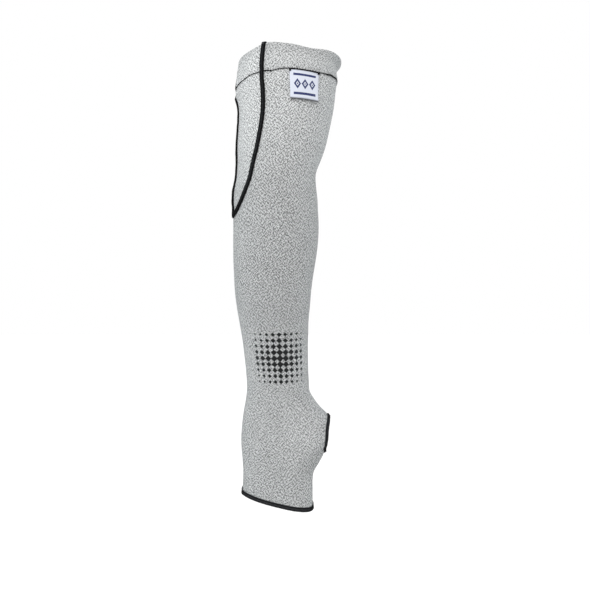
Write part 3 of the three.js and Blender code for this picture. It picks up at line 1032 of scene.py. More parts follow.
@dataclass(frozen=True)
class TapeFinish:
    """White woven tape with two navy stripes and a row of lozenges between them.

    The map gives metres across and down. A lozenge has a heart within the first of rings and a ring between
    the other two, as shares of its width. spread is its height, and half of the row's length, in widths.
    """

    width: float
    height: float
    name: str = "woven_label_tape"
    white: tuple[float, float, float, float] = (0.53, 0.555, 0.625, 1.0)
    navy: tuple[float, float, float, float] = (0.008, 0.016, 0.09, 1.0)
    pick: float = 0.42 * MM
    lozenge: float = 8.4 * MM
    rings: tuple[float, float, float] = (0.1, 0.22, 0.46)
    spread: float = 1.5
    stripe_off: float = 10.6 * MM
    stripe_width: float = 2.6 * MM
    # painted shadow: how far up from the tape's folded lower end it is darkened, and how dark
    fold_shadow_reach: float = 2.4 * MM
    fold_shadow_tone: float = 0.02
    relief: float = 0.07 * MM

    def make(self) -> Material:
        """Makes the material."""
        sheet = NodeSheet(self.name)
        x, y = sheet.uv(Layer.PLACE)
        weave = sheet.math("SINE", y * (TURN / self.pick)) * sheet.math("SINE", x * (TURN / self.pick))
        base = sheet.blend(self._motif(sheet, x, y), self.white, self.navy)
        # painted shadow: a dark band along the tape's folded lower end
        turned = sheet.span(y, -self.height, -self.height + self.fold_shadow_reach, self.fold_shadow_tone, 1.0)
        # painted shade: darker in the weave's hollows, together with the painted shadow at the fold
        base = sheet.blend(sheet.span(weave, -1, 1, 0.86, 1.0) * turned, colour(0), base)
        look = {"Base Color": base, "Roughness": 0.6, "Specular IOR Level": 0.35, "Sheen Weight": 0.1}
        return sheet.surface(look, weave, self.relief)

    def _motif(self, sheet: NodeSheet, x: Value, y: Value) -> Value:
        """Gives 1 where the navy yarn shows."""
        heart, low, high = self.rings
        half = self.lozenge * self.spread
        off = abs(y + self.height / 2)
        column = x / self.lozenge
        metric = abs(column - sheet.math("ROUND", column)) + off / half
        ring = sheet.math("LESS_THAN", metric, high) * sheet.math("GREATER_THAN", metric, low)
        drawn = sheet.math("MAXIMUM", ring, sheet.math("LESS_THAN", metric, heart))
        stripe = sheet.math("LESS_THAN", abs(off - self.stripe_off), self.stripe_width / 2)
        return sheet.math("MAXIMUM", drawn, stripe) * sheet.math("LESS_THAN", abs(x), half)


@dataclass(frozen=True)
class PaperFinish:
    """The plain pale floor."""

    value: float = 0.9
    glow: float = 0.2
    name: str = "pale_floor"

    def make(self) -> Material:
        """Makes the material."""
        sheet = NodeSheet(self.name)
        grain = sheet.noise(sheet.place(), 3, 2)
        base = sheet.blend(grain, colour(self.value * 0.99), colour(self.value))
        look = {"Base Color": base, "Roughness": 0.95, "Specular IOR Level": 0.1}
        return sheet.surface(look | {"Emission Color": colour(1), "Emission Strength": self.glow})


@dataclass
class Route:
    """A path over the cloth with a local frame at each station.

    origin is on the visible face, side lies to the left as seen from outside, and out points outwards.
    """

    origin: Array
    side: Array
    out: Array
    loop: bool

    @classmethod
    def over_cloth(
        cls, form: SleeveForm, around: Array, up: Array, loop: bool, lift: Array | float = 0.0
    ) -> "Route":
        """Makes a route through places on the cloth.

        Args:
            form: The sleeve.
            around: The stations' angles.
            up: The stations' shares of the way up.
            loop: Whether the last station joins the first.
            lift: How far the visible face stands out from the cloth.

        Returns:
            The route.
        """
        normal = form.frame_at(around, up)[3]
        origin = form.off_cloth(around, up, lift)
        ahead = np.roll(origin, -1, axis=0) - np.roll(origin, 1, axis=0)
        if not loop:
            ahead[0] = origin[1] - origin[0]
            ahead[-1] = origin[-1] - origin[-2]
        side = np.cross(normal, ahead)
        side /= np.linalg.norm(side, axis=-1, keepdims=True)
        return cls(origin, side, normal, loop)

    def followed_by(self, other: "Route") -> "Route":
        """Joins another route on at the end of this one."""
        parts = [np.concatenate(pair) for pair in zip(self._parts(), other._parts())]
        return Route(*parts, loop=False)

    def _parts(self) -> tuple[Array, Array, Array]:
        """Gives the three arrays of the route."""
        return self.origin, self.side, self.out

    @property
    def travelled(self) -> Array:
        """The distance from the start to each station, with the closing one last on a loop."""
        points = np.concatenate([self.origin, self.origin[:1]]) if self.loop else self.origin
        steps = np.linalg.norm(np.diff(points, axis=0), axis=-1)
        return np.concatenate([[0], np.cumsum(steps)])

    def at(self, distance: Array, across: Array | float, out: Array | float) -> Array:
        """Gives points beside the route.

        Args:
            distance: How far along the route each point is.
            across: How far to the left.
            out: How far outwards from the visible face.

        Returns:
            The points.
        """
        travelled = self.travelled
        if self.loop:
            distance = np.mod(distance, travelled[-1])
        found = []
        for part in self._parts():
            whole = np.concatenate([part, part[:1]]) if self.loop else part
            found.append(np.stack([np.interp(distance, travelled, whole[:, k]) for k in range(3)], axis=-1))
        across = np.broadcast_to(across, np.shape(distance))[..., None]
        out = np.broadcast_to(out, np.shape(distance))[..., None]
        return found[0] + found[1] * across + found[2] * out

    def sweep(self, corners: Sequence[tuple[float, float]]) -> tuple[Array, list]:
        """Sweeps a closed section of (across, out) corners along the route.

        Args:
            corners: The section, clockwise as seen looking along the route.

        Returns:
            The points and the faces of the swept body.
        """
        rings = np.stack([self.origin + self.side * a + self.out * o for a, o in corners], axis=1)
        count, size = rings.shape[:2]
        faces = []
        for i in range(count if self.loop else count - 1):
            here, there = i * size, (i + 1) % count * size
            for j in range(size):
                k = (j + 1) % size
                faces.append((here + j, here + k, there + k, there + j))
        if not self.loop:
            faces.append(tuple(range(size - 1, -1, -1)))
            faces.append(tuple((count - 1) * size + j for j in range(size)))
        return rings.reshape(-1, 3), faces


class Threads:
    """A bundle of round threads that is built up as one mesh."""

    def __init__(self) -> None:
        """Starts with no thread."""
        self._points: list[Array] = []
        self._faces: list[Array] = []
        self._count = 0

    def add(self, lines: Array, radius: float, sides: int = 5) -> None:
        """Adds threads of one radius.

        Args:
            lines: The middle lines, as an array of (threads, points, 3).
            radius: The threads' radius.
            sides: How many sides each thread has.
        """
        threads, size = lines.shape[:2]
        ahead = np.gradient(lines, axis=1)
        ahead /= np.maximum(np.linalg.norm(ahead, axis=-1, keepdims=True), 1e-12)
        helper = np.where(np.abs(ahead[..., 2:3]) < 0.8, (0.0, 0.0, 1.0), (1.0, 0.0, 0.0))
        first = np.cross(ahead, helper)
        first /= np.linalg.norm(first, axis=-1, keepdims=True)
        second = np.cross(ahead, first)
        turn = np.arange(sides) / sides * TURN
        ends = np.ones(size)
        ends[[0, -1]] = 0.45
        ring = first[:, :, None] * np.cos(turn)[:, None] + second[:, :, None] * np.sin(turn)[:, None]
        points = lines[:, :, None] + ring * radius * ends[:, None, None]
        self._points.append(points.reshape(-1, 3))
        corner = np.arange(threads * size * sides).reshape(threads, size, sides)
        turned = np.roll(corner, -1, axis=2)
        quads = np.stack([corner[:, :-1], turned[:, :-1], turned[:, 1:], corner[:, 1:]], axis=-1)
        self._faces.append(quads.reshape(-1, 4) + self._count)
        caps = np.concatenate([corner[:, 0, ::-1], corner[:, -1]])
        self._faces.append(caps + self._count)
        self._count += threads * size * sides

    def build(self, name: str, material: Material) -> Piece:
        """Makes the bundle's mesh.

        Args:
            name: The piece's name.
            material: The thread's material.

        Returns:
            The new object.
        """
        faces = [face for part in self._faces for face in part.tolist()]
        return make_piece(name, np.concatenate(self._points), faces, material)


@dataclass
class SleeveBody:
    """The knit tube, with the notch for the gusset and the hole for the thumb."""

    form: SleeveForm
    columns: int = 193
    low_rows: int = 138
    high_rows: int = 74
    notch_reach: float = math.radians(125)

    def _grid(self) -> tuple[Array, Array, Array]:
        """Gives the places of the grid and the number of each, with the line below the notch joined."""
        form = self.form
        tip = form.gusset_tip
        low = np.linspace(0, tip, self.low_rows)
        top = form.hem_line - form.gap / form.length
        high = tip + (top - tip) * np.linspace(0, 1, self.high_rows) ** 1.25
        up = np.concatenate([low, high[1:]])[:, None]
        start = math.radians(form.gusset_side)
        base = start + np.linspace(0, TURN, self.columns)[None, :]
        inset = form.gap / 2
        opened = smoothstep(up, tip - 1e-6, tip + 1e-6)
        front = (form.edge(up, "front", inset) - start) * opened
        back = (start - form.edge(up, "back", inset)) * opened
        near_front = np.clip(1 - (base - start) / self.notch_reach, 0, 1) ** 1.4
        near_back = np.clip(1 - (start + TURN - base) / self.notch_reach, 0, 1) ** 1.4
        around = base + front * near_front - back * near_back
        number = np.arange(around.size).reshape(around.shape)
        joined = up[:, 0] <= tip + 1e-9
        number[joined, -1] = number[joined, 0]
        return around, np.broadcast_to(up, around.shape).copy(), number

    def build(self, material: Material) -> Piece:
        """Makes the knit tube.

        Args:
            material: The knit's material.

        Returns:
            The new object.
        """
        form = self.form
        around, up, number = self._grid()
        aside = np.angle(np.exp(1j * around)) / math.radians(form.hole_arc)
        above = (up - form.hole_middle) * form.length / (form.hole_height / 2)
        size = np.hypot(aside, above)
        inside = size < 1
        faces = grid_faces(*around.shape)
        gone = inside.ravel()[faces].all(axis=1)
        rim = np.zeros(around.size, dtype=bool)
        rim[faces[~gone].ravel()] = True
        moved = (rim & inside.ravel()).reshape(around.shape)
        scale = np.where(moved, 1 / np.maximum(size, 1e-6), 1.0)
        whole_turns = np.round(around / TURN) * TURN
        around = np.where(moved, whole_turns + aside * scale * math.radians(form.hole_arc), around)
        up = np.where(moved, form.hole_middle + above * scale * form.hole_height / 2 / form.length, up)
        outer = form.off_cloth(around, up, 0.0)
        inner = form.off_cloth(around, up, -form.cloth)
        faces = number.ravel()[faces[~gone]]
        return JoinedSheet(form, around, up, outer, inner, faces).build("knit_tube", material)


class JoinedSheet(Sheet):
    """A sheet whose first and last columns share vertices, so its maps are made face by face."""

    def build(self, name: str, material: Material) -> Piece:
        """Makes the mesh, and unrolls the maps across the joined line."""
        piece = super().build(name, material)
        for layer, whole in ((Layer.STITCH, self.form.wales), (Layer.PLACE, TURN), (Layer.GIRTH, 1)):
            unroll(piece.data, layer, whole)
        return piece


def unroll(mesh: bpy.types.Mesh, layer: Layer, whole: float) -> None:
    """Adds a whole turn to the corners of faces that cross the joined line of a map.

    Args:
        mesh: The mesh.
        layer: The map to mend.
        whole: What one turn round the arm counts in the map.
    """
    uv = np.zeros(len(mesh.loops) * 2, dtype=np.float32)
    data = mesh.uv_layers[layer.value].data
    data.foreach_get("uv", uv)
    uv = uv.reshape(-1, 2)
    starts = np.zeros(len(mesh.polygons), dtype=int)
    totals = np.zeros(len(mesh.polygons), dtype=int)
    mesh.polygons.foreach_get("loop_start", starts)
    mesh.polygons.foreach_get("loop_total", totals)
    face = np.repeat(np.arange(len(starts)), totals)
    high = np.maximum.reduceat(uv[:, 0], starts)
    uv[:, 0] += np.where(high[face] - uv[:, 0] > whole / 2, whole, 0)
    data.foreach_set("uv", uv.ravel())


@dataclass
class Gusset:
    """The paler panel let into the upper arm."""

    form: SleeveForm
    rows: int = 90
    columns: int = 46

    def build(self, material: Material) -> Piece:
        """Makes the panel.

        Args:
            material: The panel's knit.

        Returns:
            The new object.
        """
        form = self.form
        share = np.linspace(0.06, 1, self.rows) ** 1.4
        top = form.hem_line - form.gap / form.length
        up = (form.gusset_tip + (top - form.gusset_tip) * share)[:, None]
        start = form.edge(up, "back", -form.gap / 2)
        end = form.edge(up, "front", -form.gap / 2)
        around = start + (end - start) * np.linspace(0, 1, self.columns)[None, :]
        up = np.broadcast_to(up, around.shape)
        outer = form.off_cloth(around, up, 0.0)
        inner = form.off_cloth(around, up, -form.cloth)
        faces = grid_faces(*around.shape)
        return Sheet(form, around, up, outer, inner, faces).build("gusset_panel", material)


@dataclass
class FoldedBand:
    """One part of the band: the cloth turned over at the top edge and sewn down at the hem line."""

    form: SleeveForm
    straight_rows: int = 18
    fold_rows: int = 9

    def _chains(self) -> tuple[Array, Array]:
        """Gives how far up and out the visible and the hidden face of the folded cloth run."""
        form = self.form
        low = form.hem_line
        inner_face = -form.cloth - form.band_inner_fold
        radius = form.fold_radius
        middle = (form.band_puff + inner_face) / 2
        shoulder = form.shoulder
        rising = low + (shoulder - low) * np.linspace(0, 1, self.straight_rows) ** 1.3
        angles = np.linspace(0, math.pi, self.fold_rows + 2)[1:-1]
        falling = rising[::-1]
        up = np.concatenate([rising, shoulder + np.sin(angles) * radius / form.length, falling])
        fold_out = middle + np.cos(angles) * radius
        out = np.concatenate([form.face_out(rising), fold_out, np.full(len(falling), inner_face)])
        inset = radius - form.cloth
        up_in = np.concatenate([rising, shoulder + np.sin(angles) * inset / form.length, falling])
        hidden_rising = form.face_out(rising) - form.cloth
        hidden_fold = middle + np.cos(angles) * inset
        hidden_falling = np.full(len(falling), inner_face + form.cloth)
        out_in = np.concatenate([hidden_rising, hidden_fold, hidden_falling])
        return np.stack([up, out]), np.stack([up_in, out_in])

    def build(self, name: str, start: str, columns: int, material: Material) -> Piece:
        """Makes the part of the band from one seam to the other.

        Args:
            name: The piece's name.
            start: The seam that it starts at going round, front or back.
            columns: How many columns its grid has.
            material: The band's knit.

        Returns:
            The new object.
        """
        form = self.form
        end, aside, turn = ("back", form.gap / 2, TURN) if start == "front" else ("front", -form.gap / 2, 0)
        sides = []
        for up, out in self._chains():
            up = np.minimum(up, 1.0)[:, None]
            first = form.edge(up, start, aside)
            last = form.edge(up, end, aside) + turn
            around = first + (last - first) * np.linspace(0, 1, columns)[None, :]
            up = np.broadcast_to(up, around.shape)
            sides.append((around, up, form.off_cloth(around, up, out[:, None])))
        (around, up, outer), (_, _, inner) = sides
        return Sheet(form, around, up, outer, inner, grid_faces(*around.shape)).build(name, material)


@dataclass
class GussetSeam:
    """The overlocked ridge along the gusset's V, turned over the top edge at both ends."""

    form: SleeveForm
    width: float = 5.1 * MM
    height: float = 1.9 * MM
    pitch: float = 1.45 * MM
    thread: float = 0.4 * MM
    sway: float = 0.25 * MM
    stations: int = 150

    def route(self) -> Route:
        """Gives the way down the front seam, round the tip and up the back seam."""
        form = self.form
        share = np.linspace(0, 1, self.stations) ** 1.3
        up = form.gusset_tip + (form.shoulder - form.gusset_tip) * share
        front = form.edge(up, "front")[::-1]
        back = form.edge(up, "back")
        around = np.concatenate([front, back[1:]])
        heights = np.concatenate([up[::-1], up[1:]])
        for _ in range(3):
            around[1:-1] = (around[:-2] + 2 * around[1:-1] + around[2:]) / 4
            heights[1:-1] = (heights[:-2] + 2 * heights[1:-1] + heights[2:]) / 4
        down = Route.over_cloth(form, around, heights, False, form.face_out(heights))
        start = self._over_edge(around[0], down, 0)
        end = self._over_edge(around[-1], down, -1)
        flipped = Route(start.origin[::-1], start.side[::-1], start.out[::-1], False)
        return flipped.followed_by(down).followed_by(end)

    def _over_edge(self, around: float, down: Route, end: int) -> Route:
        """Gives the way from one end of the V over the top edge and down inside the band."""
        form = self.form
        radius = form.fold_radius
        origin, side, out = down.origin[end], down.side[end], down.out[end]
        upward = form.frame_at(np.array([around]), np.array([1.0]))[2][0]
        upward = upward / np.linalg.norm(upward)
        middle = origin - out * radius
        angles = np.linspace(0.12, math.pi, 12)
        turned = out[None] * np.cos(angles)[:, None] + upward[None] * np.sin(angles)[:, None]
        over = middle + turned * radius
        falls = np.linspace(1, 12, 8)[:, None] * MM
        inside = over[-1] - upward * falls
        points = np.concatenate([over, inside])
        outs = np.concatenate([turned, np.tile(-out, (len(falls), 1))])
        return Route(points, np.tile(side, (len(points), 1)), outs, False)

    def build(self, highlit_core_thread: Material, material: Material) -> list[Piece]:
        """Makes the ridge and the threads that wrap it.

        Args:
            highlit_core_thread: The material of the thread that lies between the wraps, a lighter grey as a
                painted highlight.
            material: The thread's material.

        Returns:
            The new objects.
        """
        route = self.route()
        half = self.width / 2
        left = ((-0.86, 0.0), (-0.86, 0.45), (-0.5, 0.82))
        shares = left + tuple((-across, out) for across, out in left[::-1])
        points, faces = route.sweep([(across * half, out * self.height) for across, out in shares])
        ridge = make_piece("seam_ridge", points, faces, highlit_core_thread)
        threads = Threads()
        length = route.travelled[-1]
        count = int(length / self.pitch)
        place = (np.arange(count) + 0.5) * length / count
        self._wraps(threads, route, place, 1)
        self._wraps(threads, route, place, -1)
        for across in (-0.62 * half, 0.62 * half):
            self._chain(threads, route, across)
        return [ridge, threads.build("seam_threads", material)]

    def _wraps(self, threads: Threads, route: Route, place: Array, way: int) -> None:
        """Adds the looper threads that cross the ridge on the slant, one way."""
        half = self.width / 2
        across = np.array([-1.0, -0.9, -0.55, 0, 0.55, 0.9, 1.0]) * half
        out = np.array([0.05, 0.5, 0.9, 1.0, 0.9, 0.5, 0.05]) * self.height
        lean = np.linspace(-0.5, 0.5, 7) * self.pitch * 0.9 * way
        distance = np.clip(place[:, None] + lean[None], 0, route.travelled[-1])
        threads.add(route.at(distance, across, out), self.thread)

    def _chain(self, threads: Threads, route: Route, across: float) -> None:
        """Adds a wavy needle thread along the ridge."""
        length = route.travelled[-1]
        steps = int(length / self.pitch * 4)
        distance = np.linspace(0, length, steps)
        turn = distance / self.pitch * TURN
        height = self.height * (0.93 + 0.08 * np.cos(turn))
        line = route.at(distance, across + self.sway * np.sin(turn), height)
        threads.add(line[None], self.thread * 0.9)


class Rim(Enum):
    """The two bound openings."""

    HAND = "hand"
    THUMB = "thumb"


@dataclass
class EdgeBinding:
    """Overlocked thread wrapped round the cut edge of the cloth."""

    form: SleeveForm
    rim: Rim
    width: float
    narrowed: float = 0.0
    wall: float = 1.0 * MM
    pitch: float = 1.4 * MM
    thread: float = 0.36 * MM
    sway: float = 0.3 * MM

    def route(self) -> Route:
        """Gives the way round the opening, with the cloth to the left."""
        form = self.form
        if self.rim is Rim.HAND:
            around = np.linspace(0, TURN, 361)[:-1]
            return Route.over_cloth(form, around, np.zeros_like(around), True)
        angle = -np.linspace(0, TURN, 201)[:-1]
        around = math.radians(form.hole_arc) * np.cos(angle)
        up = form.hole_middle + form.hole_height / 2 * np.sin(angle) / form.length
        route = Route.over_cloth(form, around, up, True)
        route.side *= 1 - self.narrowed * (1 - np.sin(angle[:, None])) / 2
        return route

    def _section(self, far: float, proud: float) -> list[tuple[float, float]]:
        """Gives the outline that wraps the edge, as (across, out), from the inner face to the outer."""
        cloth = self.form.cloth
        return [
            (far, -cloth - 0.3 * proud),
            (0.55 * far, -cloth - 0.95 * proud),
            (0.0, -cloth - proud),
            (-0.75 * proud, -cloth - 0.55 * proud),
            (-1.2 * proud, -cloth / 2),
            (-0.75 * proud, 0.55 * proud),
            (0.0, proud),
            (0.3 * far, 0.72 * proud),
            (0.62 * far, 0.8 * proud),
            (0.85 * far, 0.62 * proud),
            (far, 0.05 * proud),
        ]

    def build(self, highlit_core_thread: Material, material: Material) -> list[Piece]:
        """Makes the bound edge and the threads that wrap it.

        Args:
            highlit_core_thread: The material of the thread that lies between the wraps, a lighter grey as a
                painted highlight.
            material: The thread's material.

        Returns:
            The new objects.
        """
        route = self.route()
        far = self.width - self.wall
        core = self._section(far, self.wall) + [(far * 0.97, -self.form.cloth / 2)]
        points, faces = route.sweep(core)
        edge = make_piece(f"{self.rim.value}_edge", points, faces, highlit_core_thread)
        threads = Threads()
        length = route.travelled[-1]
        count = int(length / self.pitch)
        place = np.arange(count) * length / count
        outline = np.array(self._section(far, self.wall + 0.5 * self.thread))
        lean = np.linspace(-0.5, 0.5, len(outline)) * self.pitch
        distance = place[:, None] + lean[None]
        threads.add(route.at(distance, outline[:, 0], outline[:, 1]), self.thread)
        along = np.linspace(0, length, count * 5 + 1)
        wave = np.sin(along / (length / count) * TURN)
        inside = -self.form.cloth - 0.95 * self.wall
        for share, height in ((0.78, 0.95 * self.wall), (0.02, 1.25 * self.wall), (0.7, inside)):
            line = route.at(along, share * far + self.sway * wave, height)
            threads.add(line[None], self.thread)
        return [edge, threads.build(f"{self.rim.value}_edge_threads", material)]


@dataclass
class HemStitching:
    """The black stitches that hold the folded band down along the hem line."""

    form: SleeveForm
    stitch: float = 2.6 * MM
    space: float = 0.35 * MM
    thread: float = 0.46 * MM
    above: float = 0.45 * MM
    sink: float = 0.3 * MM
    wander: float = 0.5 * MM
    stand_out: float = 0.1 * MM
    doubled_by: float = 0.75 * MM
    doubled: tuple[tuple[float, float], ...] = ((245, 254), (275, 287), (292, 299), (304, 313), (322, 347))

    def build(self, material: Material) -> Piece:
        """Makes both rows of stitches, outside and inside.

        Args:
            material: The thread's material.

        Returns:
            The new object.
        """
        form = self.form
        threads = Threads()
        around = np.linspace(0, TURN, 721)[:-1]
        up = np.full_like(around, form.hem_line + self.above / form.length)
        outside = Route.over_cloth(form, around, up, True, form.face_out(up))
        inside = Route.over_cloth(form, around, up, True, -form.cloth - form.band_inner_fold)
        offsets = np.linspace(-0.5, 0.5, 7) * self.stitch
        arch = np.array([-0.3, 0.3, 0.5, 0.55, 0.5, 0.3, -0.3]) * MM
        for route, way in ((outside, 1), (inside, -1)):
            length = route.travelled[-1]
            count = int(length / (self.stitch + self.space))
            turn = np.arange(count)[:, None] / count
            middle = np.full(turn.shape, 0.5)
            sunk = self.sink * soft_noise(turn, middle, 37, 1, 22)
            wander = self.wander * soft_noise(turn, middle, 61, 1, 21)
            distance = turn * length + offsets
            out = (arch + self.stand_out + sunk) * way
            threads.add(route.at(distance, wander, out), self.thread)
            again = self._is_doubled(turn[:, 0] * 360)
            beside = wander - self.doubled_by * way
            threads.add(route.at(distance, beside, out)[again], self.thread)
        return threads.build("hem_stitches", material)

    def _is_doubled(self, degrees: Array) -> Array:
        """Tells at which angles the seam was sewn over twice."""
        return np.any([(degrees > low) & (degrees < high) for low, high in self.doubled], axis=0)


@dataclass
class Label:
    """A small woven tape, folded in two and sewn into the hem line, with its free end down."""

    form: SleeveForm
    width: float = 32.8 * MM
    height: float = 32.8 * MM
    lift: float = 1.3 * MM
    ply: float = 0.34 * MM
    clear: float = 0.3 * MM
    plies_out: float = 2.4
    curl: float = 0.9 * MM
    side: float = 290.5
    slant: float = 0.045
    lean: float = 0.064
    columns: int = 25
    rows: int = 24
    fold_rows: int = 6
    tack: float = 0.42 * MM
    knot: float = 0.34 * MM
    knot_turns: int = 5

    def _places(self, x: Array, down: Array) -> tuple[Array, Array]:
        """Gives the places on the cloth under points of the label.

        Args:
            x: How far towards the thumb from the label's middle line.
            down: How far below the hem line.

        Returns:
            The angles and the shares of the way up.
        """
        form = self.form
        top = form.hem_line - form.gap / form.length
        middle = np.array([math.radians(self.side)]), np.array([top - self.height / 2 / form.length])
        turn = 1 / np.linalg.norm(form.frame_at(*middle)[1])
        return math.radians(self.side) + (x + down * self.lean) * turn, top - down / form.length

    def build(self, tape: Material, thread: Material) -> list[Piece]:
        """Makes the tape and the stitches at its top corners.

        Args:
            tape: The tape's material.
            thread: The stitches' material.

        Returns:
            The new objects.
        """
        front = self.clear + self.plies_out * self.ply
        back = self.clear + self.ply
        radius = (front - back + self.ply) / 2
        straight = np.linspace(0, self.height - radius, self.rows)
        angles = np.linspace(0, math.pi, self.fold_rows + 2)[1:-1]
        sides = []
        for inset in (0.0, self.ply):
            small = radius - inset
            fold = (front + back - self.ply) / 2 + small * np.cos(angles)
            seen = np.full(self.rows, front - inset)
            hidden = np.full(self.rows, back - self.ply + inset)
            turned = self.height - radius + small * np.sin(angles)
            y = np.concatenate([straight, turned, straight[::-1]])
            across, down = np.meshgrid(np.linspace(-0.5, 0.5, self.columns) * self.width, y)
            share = down / self.height
            corner = smoothstep(across / self.width, 0.1, 0.5) * share**3
            out = np.concatenate([seen, fold, hidden])[:, None] + self.lift * share**2 + self.curl * corner
            around, up = self._places(across, down * (1 + self.slant * across / self.width))
            sides.append((across, down, self.form.off_cloth(around, up, out)))
        (across, down, outer), (_, _, inner) = sides
        everything = close_wall(grid_faces(*across.shape)[:, ::-1], across.size)
        points = np.concatenate([outer.reshape(-1, 3), inner.reshape(-1, 3)])
        place = np.tile(np.stack([across, -down], axis=-1).reshape(-1, 2), (2, 1))
        body = make_piece("label_tape", points, everything, tape, {Layer.PLACE: place})
        return [body, self._tacks(thread, front)]

    def _tacks(self, material: Material, front: float) -> Piece:
        """Makes the row of stitches across the label's top and the knots at its corners."""
        threads = Threads()
        along = np.linspace(-1, 1, 7)
        middles = np.linspace(-0.5, 0.5, 17) * (self.width - 1.6 * MM)
        hump = np.array([-0.5, 0.2, 0.5, 0.6, 0.5, 0.2, -0.5]) * MM
        across = middles[:, None] + along * 1.15 * MM
        around, up = self._places(across, np.full(across.shape, 0.4 * MM))
        threads.add(self.form.off_cloth(around, up, front + hump), self.tack)
        lean = along[None] * 1.1 * MM
        arc = 0.35 * MM + 0.8 * MM * (1 - along**2)
        for end in (-1, 1):
            middle = end * (self.width / 2 - 0.5 * MM)
            for turn in range(self.knot_turns):
                around, up = self._places(middle + lean, (0.2 + 0.5 * turn) * MM + 0.2 * lean)
                threads.add(self.form.off_cloth(around, up, front * 0.6 + arc), self.knot)
        return threads.build("label_stitches", material)


@dataclass(frozen=True)
class Lamp:
    """A square soft light that faces a height on the sleeve. Its power is in watts."""

    name: str
    at: tuple[float, float, float]
    aim_z: float
    size: float
    power: float
    colour: tuple[float, float, float] = (0.86, 0.96, 1.0)

    def hang(self) -> None:
        """Puts the light in the scene."""
        data = bpy.data.lights.new(self.name, "AREA")
        data.size = self.size
        data.energy = self.power
        data.color = self.colour
        light = bpy.data.objects.new(self.name, data)
        light.location = self.at
        aim = np.array([0.0, 0.0, self.aim_z]) - np.array(self.at)
        flat = math.hypot(aim[0], aim[1])
        light.rotation_euler = (math.atan2(flat, -aim[2]), 0, math.atan2(aim[1], aim[0]) - math.pi / 2)
        bpy.context.scene.collection.objects.link(light)


@dataclass
class Studio:
    """The camera, the soft lights and the pale floor."""

    picture: int = 590
    metres_per_px: float = 1.11 * MM
    distance: float = 1.8
    aim_x: float = 7.5 * MM
    aim_z: float = -246 * MM
    sensor: float = 36
    floor: float = -0.78
    floor_radius: float = 20.0
    floor_sides: int = 64

    def place_camera(self) -> None:
        """Sets the camera level with the middle of the sleeve, square to the back of the hand."""
        data = bpy.data.cameras.new("camera")
        data.sensor_fit = "HORIZONTAL"
        data.sensor_width = self.sensor
        data.lens = self.distance / self.metres_per_px / self.picture * self.sensor
        camera = bpy.data.objects.new("camera", data)
        camera.location = (self.aim_x, -self.distance, self.aim_z)
        camera.rotation_euler = (math.pi / 2, 0, 0)
        bpy.context.scene.collection.objects.link(camera)
        bpy.context.scene.camera = camera

    def make_floor(self, material: Material) -> None:
        """Makes a wide round floor.

        Args:
            material: The floor's material.
        """
        angles = np.arange(self.floor_sides) / self.floor_sides * TURN
        rim = np.stack([np.cos(angles), np.sin(angles)], axis=-1) * self.floor_radius
        points = [(x, y, self.floor) for x, y in rim]
        make_piece("floor", np.array(points), [tuple(range(self.floor_sides))], material)

    @property
    def lamps(self) -> tuple[Lamp, ...]:
        """The soft lights."""
        return (
            Lamp("overhead", (-0.15, -0.7, 0.7), -0.08, 0.8, 10.5, (1, 1, 1)),
            Lamp("left_side", (-1.3, -0.1, -0.3), -0.3, 0.8, 3.5),
            Lamp("right_side", (0.95, 0.45, -0.15), -0.24, 0.6, 3.2),
            Lamp("low_front", (-0.5, -1.1, -0.6), -0.42, 0.7, 1.5),
        )

    def light(self) -> None:
        """Sets the world's pale light and the soft lights."""
        world = bpy.data.worlds.new("studio")
        world.use_nodes = True
        background = world.node_tree.nodes["Background"]
        background.inputs["Color"].default_value = (1, 1, 1, 1)
        background.inputs["Strength"].default_value = 1.0
        bpy.context.scene.world = world
        for lamp in self.lamps:
            lamp.hang()
        bpy.context.scene.view_settings.view_transform = "Standard"


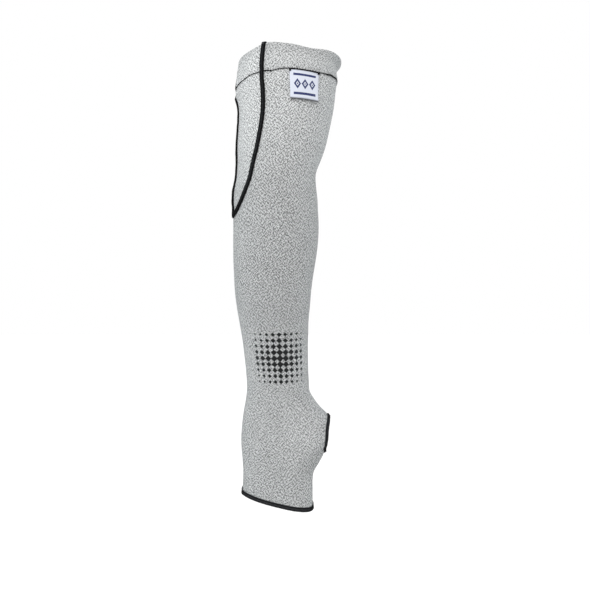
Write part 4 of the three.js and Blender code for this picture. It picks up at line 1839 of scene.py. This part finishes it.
def dress(piece: Piece, node: str | None, slot: Slot) -> None:
    """Fixes a piece to the sleeve, hides the solid that it stands for and reports it with its slot.

    Args:
        piece: The piece.
        node: The solid that it stands for, if any.
        slot: The material slot that is reported for it.
    """
    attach(piece, BODY)
    if node:
        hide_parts(node)
    LOG.info("%s: %d faces, %s", piece.name, len(piece.data.polygons), slot.value)


def main() -> None:
    """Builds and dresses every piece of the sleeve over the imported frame."""
    logging.basicConfig(level=logging.INFO, format="%(name)s %(message)s")
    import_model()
    form = SleeveForm()
    studio = Studio()
    studio.place_camera()
    studio.make_floor(PaperFinish().make())
    studio.light()

    # the body's knit, with the print and the painted shade by the thumb's root
    knit = KnitFinish("heather_knit", motif=InkMotif(), thumb_shade=ThumbRootShade()).make(form)
    band_knit = KnitFinish("band_knit", pale=0.73, dark=0.07).make(form)
    pale_knit = KnitFinish("gusset_knit", pale=0.9, dark=0.015).make(form)
    thread = ThreadFinish().make()
    # painted highlight: the cores of the seam and the bindings in a lighter grey thread, for the lighter
    # streak along their middle
    highlit_thread = ThreadFinish("highlit_overlock_thread", 0.05).make()
    label = Label(form)

    tube = SleeveBody(form).build(knit)
    dress(tube, "sleeve_body", Slot.KNIT)
    panel = Gusset(form).build(pale_knit)
    dress(panel, "gusset", Slot.GUSSET)

    band = FoldedBand(form)
    around_arm = band.build("folded_band", "front", 190, band_knit)
    dress(around_arm, "hem_band", Slot.KNIT)
    over_gusset = band.build("gusset_band", "back", 46, pale_knit)
    dress(over_gusset, "gusset_hem_band", Slot.GUSSET)

    for piece in GussetSeam(form).build(highlit_thread, thread):
        dress(piece, "gusset_seam", Slot.THREAD)
    hand = EdgeBinding(form, Rim.HAND, 5.3 * MM)
    thumb = EdgeBinding(form, Rim.THUMB, 4.6 * MM, narrowed=0.4)
    for binding, node in ((hand, "hand_binding"), (thumb, "thumb_binding")):
        for piece in binding.build(highlit_thread, thread):
            dress(piece, node, Slot.THREAD)
    dress(HemStitching(form).build(thread), None, Slot.THREAD)

    tape = TapeFinish(label.width, label.height).make()
    tape_piece, tacks = label.build(tape, thread)
    dress(tape_piece, "label", Slot.TAPE)
    dress(tacks, None, Slot.THREAD)


if __name__ == "__main__":
    main()
